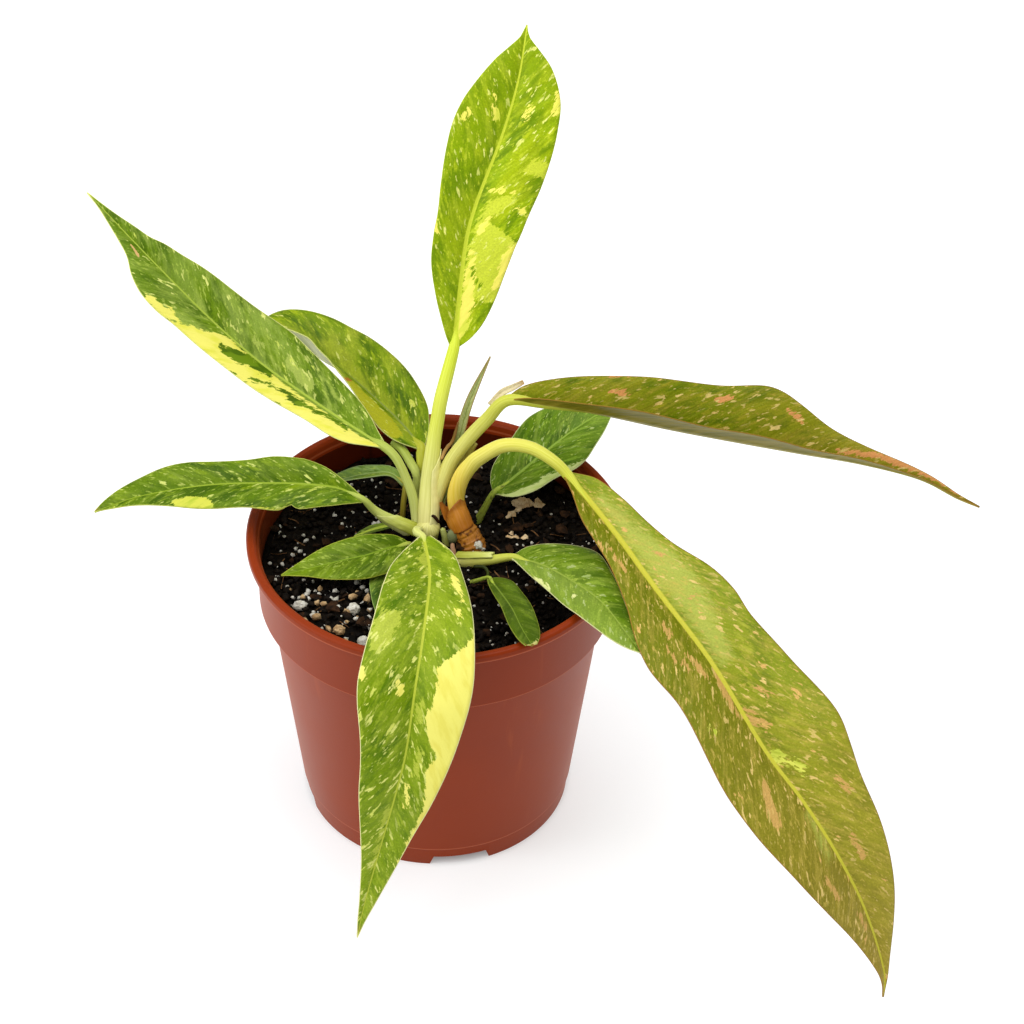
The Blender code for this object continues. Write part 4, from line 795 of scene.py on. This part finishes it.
def buildWrap(name, points, radii, arc, material, node=None, slot="petiole_pale_green", gap=0.3, flare=0.0,
              curl=0.0, torn=0.1, edge=((-180, 1), (180, 1)), thick=0.3, seed=0):
    # a sheath lying round part of a stalk, between two angles in degrees; edge gives how far it reaches
    # along the stalk at each angle, and torn how ragged that edge is
    line = SmoothLine(points)
    bm = bmesh.new()
    bmesh.ops.create_grid(bm, x_segments=max(10, round(line.length / 0.5)),
                          y_segments=max(8, round((arc[1] - arc[0]) / 7)), size=1)
    share = bm.verts.layers.float.new("share")
    places = {}
    for vert in bm.verts:
        gone, across = (vert.co.x + 1) / 2, vert.co.y
        turn = math.radians(arc[0] + (arc[1] - arc[0]) * (across + 1) / 2)
        rag = 0.6 * noise.noise(Vector((turn * wrapForm["tears"][0], seed, 0)))
        rag += 0.4 * noise.noise(Vector((turn * wrapForm["tears"][1], seed, 5)))
        t = gone * between(edge, math.degrees(turn))[0] * (1 - torn * (0.6 + rag))
        up, other = line.across(t, (0, -0.3, 1))
        radius = between(evenly(radii), t)[0] + gap + flare * max(0, gone - wrapForm["flareFrom"]) ** 2 * 5
        radius += curl * max(0, abs(across) - wrapForm["curlFrom"]) ** 2 * 6 * gone
        bumps = Vector((turn * 3, t * line.length / wrapForm["bumpLength"], seed))
        radius += wrapForm["bump"] * noise.noise(bumps)
        vert.co = line.at(t) + radius * (math.cos(turn) * up + math.sin(turn) * other)
        vert[share] = gone
        places[vert] = (turn * radii[0], t * line.length)
    bmesh.ops.reverse_faces(bm, faces=bm.faces[:])
    laySurface(bm, places)
    addShell(finishPiece(name, bm, [material], node, slot, outward=False), thick, 0)


wraps = {
    "papery_collar": dict(
        points=[(9.9, 9.8, 124.6), (8, 11.6, 129), (6.2, 13.6, 132.6), (4.6, 15.6, 136.6)],
        radii=[4.35, 4.45, 4.4, 4.3], arc=(-178, 178), material=dryPaper, node="old_stem_sheath",
        slot="sheath_papery", gap=0.25, flare=0.5, torn=0.04, seed=3, thick=0.4,
        edge=[(-180, 0.68), (-160, 0.7), (-140, 0.98), (-125, 0.94), (-110, 0.58), (-90, 0.44), (-70, 0.5),
              (-45, 0.67), (0, 0.84), (45, 0.93), (90, 0.8), (135, 0.72), (180, 0.68)]),
    "column_membrane": dict(
        points=[(-4.3, 10.6, 123), (-3.8, 13, 128.5), (-3.6, 20, 138), (-2.4, 27, 151.4)],
        radii=[4.1, 4.15, 3.8, 3.1], arc=(15, 165), material=membrane, gap=0.2, curl=0.08, torn=0, seed=6,
        edge=[(15, 0.74), (50, 0.86), (80, 0.96), (110, 1), (165, 0.9)]),
    "broken_sheath_strip": dict(
        points=[(8.6, -0.8, 116.9), (13.5, -2.6, 118.6), (23.4, -4.9, 121.7)], radii=[3.1, 2.9, 2],
        arc=(-80, 20), material=stripFlesh, node="right_low_sheath", gap=0.25, curl=0.3, torn=0.08, seed=8,
        thick=0.7),
    "lower_left_wrap": dict(
        points=[(-10, 11, 122), (-19, 9, 129), (-25, 8, 135)], radii=[3.5, 2.85, 1.9], arc=(-70, 40),
        material=stripFlesh, slot="petiole_green", gap=0.12, curl=0.2, torn=0.03, seed=9,
        edge=[(-70, 0.95), (40, 0.5)])}
for wrapName, wrap in wraps.items():
    buildWrap(wrapName, **wrap)

sheaths = {}
sheaths["spear"] = dict(
    spine=[(0, 25.3, 118.1), (2.4, 28.2, 126), (5, 31, 138), (8.2, 34, 152.4), (12.2, 39, 166.6),
        (19.8, 44, 184.5)], right=((0.85, -0.3, -0.1), (0.85, -0.3, -0.1)), fold=(35, 35, 25, 25),
    ripple=(0, 1), slot="sheath_grey_green",
    widths=[(0, 1.3, 1.3), (25, 1.7, 1.7), (50, 2, 2), (75, 1.6, 1.6), (100, 0.2, 0.2)],
    greens=("#929c5c", "#a9b072", "#bcc086"), streak=(0.6, "#c3c288"), speckle=(0.9, "#c5d066"),
    fleck=(0.9, "#b4c050"), mottle=("#959e60", 0), margin=(0.5, "#a08c54"), rib=(0.4, "#7a863c"),
    roughness=0.42, under=("#8f9a6c", "#a7ae84"), tints=((86, 100, 1, 1, "#7a5a2c"),))
sheaths["upper_right"] = dict(
    spine=[(20, 29.8, 171.4), (24.6, 31.4, 176.4), (29.3, 31.6, 179.3), (33, 31, 182.3)],
    right=((0.54, -0.49, -0.58), (0.54, -0.49, -0.58)), fold=(20, 20, 10, 10), ripple=(0, 1),
    slot="sheath_tan",
    widths=[(0, 1.1, 1.1), (50, 1.35, 1.35), (100, 0.9, 0.9)],
    greens=("#cdbb90", "#ddd0a8", "#e8dcb8"), streak=(0.25, "#c9b288"), speckle=(0.9, "#c5d066"),
    fleck=(0.9, "#b4c050"), faint=(0.9, 0), mottle=("#ddd0a8", 0), margin=(0.2, "#c2a878"),
    rib=(0.2, "#d8caa0"), roughness=0.6, under=("#d3c49a", "#dccfa8"), tints=((80, 100, 1, 1, "#b08f5c"),))
sheaths["yellow"] = dict(
    spine=[(7.7, 27.5, 138), (10.8, 28.8, 146), (14.6, 29.4, 152.5)],
    right=((0.85, -0.3, -0.3), (0.85, -0.3, -0.3)), fold=(20, 20, 15, 15), ripple=(0, 1), slot="sheath_tan",
    widths=[(0, 3, 1.8), (50, 3.1, 2), (100, 1.6, 0.9)],
    greens=("#a89a4a", "#bcae58", "#cdbf6c"), streak=(0.25, "#a88f44"), speckle=(0.9, "#c5d066"),
    fleck=(0.9, "#b4c050"), mottle=("#bcae58", 0), margin=(0.3, "#a0803c"), rib=(0.2, "#bcae58"),
    roughness=0.5, under=("#a89a4a", "#b9ab5c"))
for seed, (sheathName, sheath) in enumerate(sheaths.items(), 21):
    buildBlade(sheathName + "_dry_sheath", sheathName + "Sheath", sheath, sheathName + "_sheath", seed,
               step=0.7, ribDepth=0.05, belly=0.03, thick=(0.35, 0.6))
print("stems and sheaths done")


pot = dict(height=131.2, lipRadius=75.0, lipDepth=3.5, collarTop=71.0, collarFoot=70.6, collarHeight=101.2,
           bodyTop=66.5, bodyFoot=55.5, skirt=9.5, base=54.0, wall=1.2, floor=5.0, steps=192,
           notch=dict(width=24.4, height=4.6, lean=1.5, turn=11.5), drain=dict(radius=3.5, at=40.0))


# Patches per metre: the clouding, the flow lines round and down the wall, the scuffs and the fine grain
plastic = dict(cloud=14, flow=(220, 220, 6), scuff=160, grain=900, bloom="#ff8a4a", edgeHighlight="#a8502f",
               highlightWidth=(0.55, 0.2), highlightAmount=0.75)


def potPlastic(name, *shades):
    # injection-moulded polypropylene in a terracotta shade: satin, with a warm bloom where it is seen
    # edge-on, faint flow lines down the wall and painted highlights as thin paler lines along its edges
    skin = Finish(name, 0.4, specular=0.1, ior=1.49)
    skin.shade({"Sheen Weight": 0.16, "Sheen Roughness": 0.5, "Sheen Tint": plastic["bloom"]})
    place = skin.placeOnPot()
    cloud = skin.clouds(place, plastic["cloud"], 4)
    flow = skin.clouds(skin.stretch(place, *plastic["flow"]), 1, 3)
    scuff = skin.clouds(place, plastic["scuff"], 6, 0.7)
    colour = skin.layers(shades[0], (skin.mask(cloud, 0.35, 0.65), shades[1]),
                         (skin.mask(flow, 0.62, 0.8), shades[2]), (skin.mask(scuff, 0.7, 0.76), shades[3]))
    level = skin.add("SeparateXYZ", {0: place}).outputs["Z"]
    outer, inner = plastic["highlightWidth"]
    # painted highlights: thin paler lines at the collar's lower edge, the skirt's top and the lip's lower
    # edge
    for edge in (pot["collarHeight"] + 0.4, pot["skirt"] + 0.2, pot["height"] - pot["lipDepth"] + 0.5):
        gap = skin.calc("ABSOLUTE", skin.calc("SUBTRACT", level, edge * mm))
        edgeHighlight = skin.calc("MULTIPLY", skin.mask(gap, outer * mm, inner * mm), plastic["highlightAmount"])
        colour = skin.layers(colour, (edgeHighlight, plastic["edgeHighlight"]))
    skin.shade({"Roughness": skin.ramp(cloud, 0.3, 0.7, 0.33, 0.42)})
    return skin.done(colour, skin.clouds(place, plastic["grain"]), 0.08, 0.2)


def lathe(profile, steps, rounded=0):
    # spins an outline of (radius, height) round the pot's axis, its inner corners rounded if asked
    bm = bmesh.new()
    ring = [bm.verts.new((radius, 0, height)) for radius, height in profile]
    for pair in zip(ring, ring[1:]):
        bm.edges.new(pair)
    if rounded:
        bmesh.ops.bevel(bm, geom=ring[2:-2], offset=rounded, segments=3, profile=0.5, affect='VERTICES',
                        material=-1)
    bmesh.ops.spin(bm, geom=bm.verts[:] + bm.edges[:], cent=(0, 0, 0), axis=(0, 0, 1), angle=2 * math.pi,
                   steps=steps, use_merge=True)
    bmesh.ops.remove_doubles(bm, verts=bm.verts[:], dist=0.001)
    return bm


def notchCutter(turn):
    # one foot notch, narrower at its top, with the drain hole behind it
    notch, drain = pot["notch"], pot["drain"]
    bm = bmesh.new()
    for vert in bmesh.ops.create_cube(bm, size=2)["verts"]:
        height = notch["height"] if vert.co.z > 0 else -2
        half = notch["width"] / 2 - notch["lean"] * height / notch["height"]
        vert.co = turn @ Vector((pot["base"] + 4 * vert.co.x, half * vert.co.y, height))
    hole = turn @ Matrix.Translation((drain["at"], 0, pot["floor"] + 0.6))
    bmesh.ops.create_cone(bm, segments=32, radius1=drain["radius"], radius2=drain["radius"], depth=6,
                          cap_ends=True, matrix=hole)
    bmesh.ops.transform(bm, matrix=toFrame, verts=bm.verts[:])
    return newObject("cutter", bm)


def buildPot():
    top, foot, floor, wall = pot["height"], pot["collarHeight"], pot["floor"], pot["wall"]
    base, bodyFoot, lip, lipFoot = pot["base"], pot["bodyFoot"], pot["lipRadius"], top - pot["lipDepth"]
    bm = lathe([(0, floor), (base - 2 * wall, floor), (base - 2 * wall + 0.3, 0), (base, 0),
                (bodyFoot - 0.6, pot["skirt"] - 0.5), (bodyFoot, pot["skirt"]), (pot["bodyTop"], foot),
                (pot["collarFoot"], foot + 0.3), (pot["collarTop"], lipFoot), (lip - 0.2, lipFoot),
                (lip, lipFoot + 0.4), (lip, top - 0.8), (lip - 0.8, top), (lip - 2.8, top),
                (lip - 3.8, top - 0.9), (pot["collarTop"] - wall, lipFoot - 1),
                (pot["collarFoot"] - wall, foot + wall), (pot["bodyTop"] - wall, foot),
                (bodyFoot - wall, pot["skirt"]), (bodyFoot - wall - 0.4, floor + wall), (0, floor + wall)],
               pot["steps"], rounded=0.25)
    bmesh.ops.recalc_face_normals(bm, faces=bm.faces[:])
    # faces turned to the axis below the lip take the darker copy, painted shade inside the pot
    for face in bm.faces:
        x, y, z = face.calc_center_median()
        facesAxis = face.normal.x * x + face.normal.y * y < -20
        if facesAxis and z < lipFoot + 0.5:
            face.material_index = 1
    outside = potPlastic("potPolypropylene", "#7c2906", "#832d08", "#8c360e", "#9c4c28")
    inside = potPlastic("potInsidePaintedShade", "#4c1404", "#571a07", "#3a1004", "#2a0f06")  # painted shade: the inside wall in darker shades of the same plastic
    piece = finishPiece("nursery_pot", bm, [outside, inside], "pot", "pot_plastic")
    cutters = [notchCutter(Matrix.Rotation(math.radians(pot["notch"]["turn"] - 90 + 90 * quarter), 4, 'Z'))
               for quarter in range(4)]
    for cutter in cutters:
        cut = piece.modifiers.new("Notch", 'BOOLEAN')
        cut.operation, cut.solver, cut.object = 'DIFFERENCE', 'EXACT', cutter
    bpy.context.view_layer.update()
    piece.data = bpy.data.meshes.new_from_object(piece.evaluated_get(bpy.context.evaluated_depsgraph_get()))
    piece.modifiers.clear()
    piece.data.shade_smooth()
    piece.data.set_sharp_from_angle(angle=math.radians(38))
    for cutter in cutters:
        bpy.data.objects.remove(cutter, do_unlink=True)


buildPot()
print("pot done")

# mound and crown are (x, y, reach, height) of the two rises in the soil
soil = dict(level=116.5, mound=(-38, -42, 34, 6.5), crown=(0, 10, 18, 2), bump=1.3, bumpSize=9, crumb=1.5,
            crumbSize=4.5, edge=69, reach=67, rings=44, steps=150, seed=7)


def soilTop(x, y):
    mx, my, reach, height = soil["mound"]
    cx, cy, crownReach, crownHeight = soil["crown"]
    heap = height * math.exp(-((x - mx) ** 2 + (y - my) ** 2) / (reach / 1.5) ** 2)
    crown = crownHeight * math.exp(-((x - cx) ** 2 + (y - cy) ** 2) / crownReach ** 2)
    return soil["level"] + heap + crown + soil["bump"] * noise.noise(Vector((x, y, 3)) / soil["bumpSize"])


def earthy(name, size, *shades, roughness=0.95, specular=0.12):
    # damp peat, bark or stone: matt and crumbly, its shade changing from crumb to crumb of this size
    skin = Finish(name, roughness, specular)
    place = skin.place()
    coarse, fine = skin.clouds(place, 1000 / size, 3), skin.clouds(place, 4200 / size, 5, 0.65)
    colour = skin.layers(shades[0], (skin.mask(coarse, 0.4, 0.6), shades[1]),
                         (skin.mask(fine, 0.56, 0.68), shades[2]))
    return skin.done(colour, fine, 0.6, 0.8)


pottingMix = earthy("dampPottingMix", 2.6, "#060402", "#100a04", "#2a1c0c", roughness=0.75, specular=0.1)
darkCrumb = earthy("peatCrumb", 3.4, "#080503", "#150e07", "#2e200f", roughness=0.7)
fibreSkin = earthy("peatFibre", 3.0, "#5a3d24", "#7c5a38", "#3a2615", roughness=0.8)
perliteStone = earthy("perlite", 2.0, "#d3d0c4", "#b9b4a4", "#e6e3d8", roughness=0.85)
tanStone = earthy("tanGrain", 1.8, "#a3835a", "#c4a67a", "#7a5a38", roughness=0.85)
barkChip = earthy("barkChip", 2.2, "#1f1207", "#36210f", "#120a04", roughness=0.75)
paleChip = earthy("weatheredChip", 3.4, "#cfae80", "#dcc39a", "#74502c", roughness=0.8)


def buildSoil():
    edge, gap, foot = soil["edge"], pot["wall"] + 0.6, pot["collarHeight"]
    bottom = pot["floor"] + pot["wall"] + 0.3
    profile = [(edge * i / soil["rings"], 0) for i in range(soil["rings"] + 1)]
    bm = lathe(profile + [(pot["collarFoot"] - gap, foot + 1.5), (pot["bodyTop"] - gap, foot),
                          (pot["bodyFoot"] - gap - 0.5, bottom), (0, bottom)], soil["steps"])
    for vert in bm.verts:
        if vert.co.z == 0:
            x, y, _ = vert.co
            spot = Vector((x, y, 0))
            crumbly = noise.fractal(spot / soil["crumbSize"], 0.8, 2.2, 4) * soil["crumb"]
            vert.co.z = soilTop(x, y) + crumbly * min(1, (edge - spot.length) / 4 + 0.3)
    finishPiece("soil_bed", bm, [pottingMix], "soil", "potting_mix")


# usual is the share of grains within their sizes, larger how many times larger the others may be
grainForm = dict(usual=0.75, larger=1.3, tilt=0.5, narrow=(0.6, 0.9), bumps=2.2)


def scatter(name, count, material, slot, sizes, flat, spread, smooth=True, lift=0.3, rough=0.35):
    # many small grains joined in one piece, resting on the soil
    bm, tilt = bmesh.new(), grainForm["tilt"]
    for index in range(count):
        x, y = spread()
        largest = sizes[1] if rng.random() < grainForm["usual"] else sizes[1] * grainForm["larger"]
        size = rng.uniform(sizes[0], largest)
        turn = Matrix.Rotation(rng.uniform(0, 6.28), 4, 'Z')
        turn = turn @ Matrix.Rotation(rng.uniform(-tilt, tilt), 4, 'X')
        shape = Matrix.Diagonal((1, rng.uniform(*grainForm["narrow"]), rng.uniform(*flat), 1))
        place = Matrix.Translation((x, y, soilTop(x, y) + lift * size * 0.5 + 0.4))
        made = bmesh.ops.create_icosphere(bm, subdivisions=1, radius=size / 2)["verts"]
        own = Vector((index * 1.7, 0, 0))
        for vert in made:
            vert.co *= 1 + rough * noise.noise(vert.co * (grainForm["bumps"] / size) + own)
        bmesh.ops.transform(bm, matrix=place @ turn @ shape, verts=made)
    finishPiece(name, bm, [material], None, slot, smooth=smooth)


def anywhere():
    radius, turn = soil["reach"] * math.sqrt(rng.random()), rng.uniform(0, 2 * math.pi)
    return radius * math.cos(turn), radius * math.sin(turn)


def around(x, y, wide, deep, limit=soil["reach"]):
    # places gathered round one, none past the limit from the pot's axis
    def spread():
        while True:
            place = rng.gauss(x, wide), rng.gauss(y, deep)
            if math.hypot(*place) < limit:
                return place
    return spread


onHeap, onLeft, onRight = around(-43, -37, 16, 12), around(-50, -4, 14, 26, 65), around(36, 20, 7, 9)


fibres = dict(count=70, limit=66, length=(4, 15), radius=(0.15, 0.4), taper=0.6, bend=0.12)


def buildFibres():
    # fine root and peat fibres lying loose on the surface
    bm = bmesh.new()
    limit, bending = fibres["limit"], fibres["bend"]
    for index in range(fibres["count"]):
        x, y = anywhere()
        length, radius = rng.uniform(*fibres["length"]), rng.uniform(*fibres["radius"])
        first = len(bm.verts)
        bmesh.ops.create_cone(bm, segments=5, radius1=radius, depth=length, cap_ends=True,
                              radius2=radius * fibres["taper"])
        bm.verts.ensure_lookup_table()
        lengthwise = list({e for v in bm.verts[first:] for e in v.link_edges
                           if abs(e.verts[0].co.z - e.verts[1].co.z) > 1})
        bmesh.ops.subdivide_edges(bm, edges=lengthwise, cuts=5)
        bm.verts.ensure_lookup_table()
        heading, bend = rng.uniform(0, 6.28), rng.uniform(-bending, bending)
        for vert in bm.verts[first:]:
            along, side, height = vert.co.z, vert.co.x + bend * (vert.co.z ** 2) / 4, vert.co.y
            px = x + along * math.cos(heading) - side * math.sin(heading)
            py = y + along * math.sin(heading) + side * math.cos(heading)
            if math.hypot(px, py) > limit:
                px, py = px * limit / math.hypot(px, py), py * limit / math.hypot(px, py)
            vert.co = Vector((px, py, soilTop(px, py) + 1.0 + height + 0.5 * math.sin(along / 2 + index)))
    finishPiece("peat_fibres", bm, [fibreSkin], None, "bark")


rng = random.Random(soil["seed"])
buildSoil()
scatter("peat_crumbs", 2600, darkCrumb, "potting_mix", (0.9, 3.4), (0.5, 0.9), anywhere, rough=0.7)
scatter("fine_perlite", 330, perliteStone, "perlite", (0.5, 1.5), (0.7, 1), anywhere, lift=1.2)
scatter("perlite_beads", 46, perliteStone, "perlite", (1.3, 2.6), (0.7, 1), onLeft, lift=1.2, rough=0.5)
scatter("heap_perlite", 24, perliteStone, "perlite", (1.2, 3.3), (0.7, 1), onHeap, lift=1.0, rough=0.9)
scatter("heap_stones", 22, tanStone, "bark", (1.6, 3.6), (0.7, 1), onHeap, lift=1.0, rough=0.9)
scatter("heap_crumbs", 60, darkCrumb, "potting_mix", (1.2, 3.0), (0.5, 0.9), onHeap, lift=1.2, rough=1.1)
scatter("bark_flakes", 150, barkChip, "bark", (2.0, 6.0), (0.2, 0.4), anywhere, smooth=False, lift=0.8,
        rough=0.8)
scatter("pale_chips", 9, paleChip, "bark", (2.6, 4.6), (0.3, 0.5), onRight, smooth=False, lift=1.0, rough=0.9)
buildFibres()

grains = {
    "perlite_grain_left": dict(centre=(-52, -35.5, 122.5), size=(2.6, 2.2, 1.9)),
    "perlite_grain_middle": dict(centre=(-31, -39, 124.5), size=(2.4, 2.2, 2)),
    "tan_grain_front": dict(centre=(-36, -51.5, 124.6), size=(2.3, 2, 1.8), material=tanStone, slot="bark"),
    "perlite_grain_front": dict(centre=(-26.6, -55.7, 122.5), size=(2.4, 2.4, 2.1)),
    "bark_chip_back": dict(centre=(33.4, 33.7, 118.2), size=(4.2, 2.8, 1.5), material=paleChip, slot="bark",
                           uneven=0.36),
    "grey_bud": dict(centre=(6.0, 7.6, 122.4), size=(2.3, 2, 3.5), material=budSkin, slot="sheath_grey_green",
                     uneven=0.05)}
for grainName, grain in grains.items():
    bm = bmesh.new()
    bmesh.ops.create_icosphere(bm, subdivisions=4, radius=1)
    centre, uneven = Vector(grain["centre"]), grain.get("uneven", 0.28)
    for vert in bm.verts:
        bulge = 1 + uneven * noise.fractal(vert.co * 1.6 + centre, 0.9, 2.1, 4)
        vert.co = centre + Vector([c * s * bulge for c, s in zip(vert.co, grain["size"])])
    finishPiece(grainName + "_detail", bm, [grain.get("material", perliteStone)], grainName,
                grain.get("slot", "perlite"))
bm = bmesh.new()
for place, size in (((16.2, 3.9, 121.0), 1.7), ((14.2, 2.9, 118.4), 1.1), ((17.6, 4.2, 118.6), 1.2)):
    place = Vector(place)
    for vert in bmesh.ops.create_icosphere(bm, subdivisions=3, radius=size)["verts"]:
        vert.co = place + vert.co * (1 + 0.5 * noise.noise(vert.co * 1.1 + place))
finishPiece("perlite_on_stem", bm, [perliteStone], None, "perlite")
print("soil done")

# The floor glows from glowFrom to glowFull millimetres off the pot's axis outwards, leaving painted shade
# under the pot. The rest is in metres.
stage = dict(floorSize=6, glow=0.52, glowFrom=47, glowFull=56, sky=0.62, aim=(0, 0, 0.1))
lamps = {
    "keyLight": dict(place=(-0.9, -0.7, 1.5), size=0.9, power=8),
    "leftLight": dict(place=(-1.3, -0.35, 0.75), size=0.6, power=5),
    "topLight": dict(place=(0.2, 0.2, 1.9), size=1.6, power=22)}
camera = dict(lens=123.05, sensor=36, place=(-0.0076, -1.0387, 1.0244), downTilt=40.11, roll=1.0)


def buildFloor():
    # a glowing table top, evenly bright, with painted shade under the pot where its glow fades out
    skin = Finish("paleStudioFloor", 0.7, specular=0.2)
    soft = skin.clouds(skin.place(), 3)
    fromPot = skin.calc("LENGTH", skin.placeOnPot(), kind="VectorMath").outputs["Value"]
    glow = skin.ramp(fromPot, stage["glowFrom"] * mm, stage["glowFull"] * mm, 0, stage["glow"])
    skin.shade({"Base Color": skin.layers("#c9cbcd", (skin.mask(soft, 0.3, 0.7), "#cbcdcf")),
                "Emission Color": (1, 1, 1, 1), "Emission Strength": glow})
    bm = bmesh.new()
    bmesh.ops.create_grid(bm, x_segments=1, y_segments=1, size=stage["floorSize"])
    newObject("floor", bm, [skin.material])


def addLight(name, place, size, power):
    lamp = bpy.data.lights.new(name, 'AREA')
    lamp.shape, lamp.size, lamp.energy = 'DISK', size, power
    made = bpy.data.objects.new(name, lamp)
    made.location = place
    made.rotation_euler = (Vector(stage["aim"]) - Vector(place)).to_track_quat('-Z', 'Y').to_euler()
    bpy.context.scene.collection.objects.link(made)


def buildCamera():
    lens = bpy.data.cameras.new("camera")
    lens.lens, lens.sensor_width, lens.clip_end = camera["lens"], camera["sensor"], 20
    made = bpy.data.objects.new("camera", lens)
    pitch, roll = math.pi / 2 - math.radians(camera["downTilt"]), math.radians(camera["roll"])
    made.matrix_world = (Matrix.Translation(camera["place"]) @ Matrix.Rotation(pitch, 4, 'X')
                         @ Matrix.Rotation(roll, 4, 'Z'))
    bpy.context.scene.collection.objects.link(made)
    bpy.context.scene.camera = made


buildFloor()
world = bpy.data.worlds.new("softbox")
world.use_nodes = True
sky = world.node_tree.nodes["Background"].inputs
sky["Color"].default_value, sky["Strength"].default_value = (1, 1, 1, 1), stage["sky"]
bpy.context.scene.world = world
for lampName, lamp in lamps.items():
    addLight(lampName, **lamp)
buildCamera()
bpy.context.scene.view_settings.view_transform = 'Standard'
print("stage done")
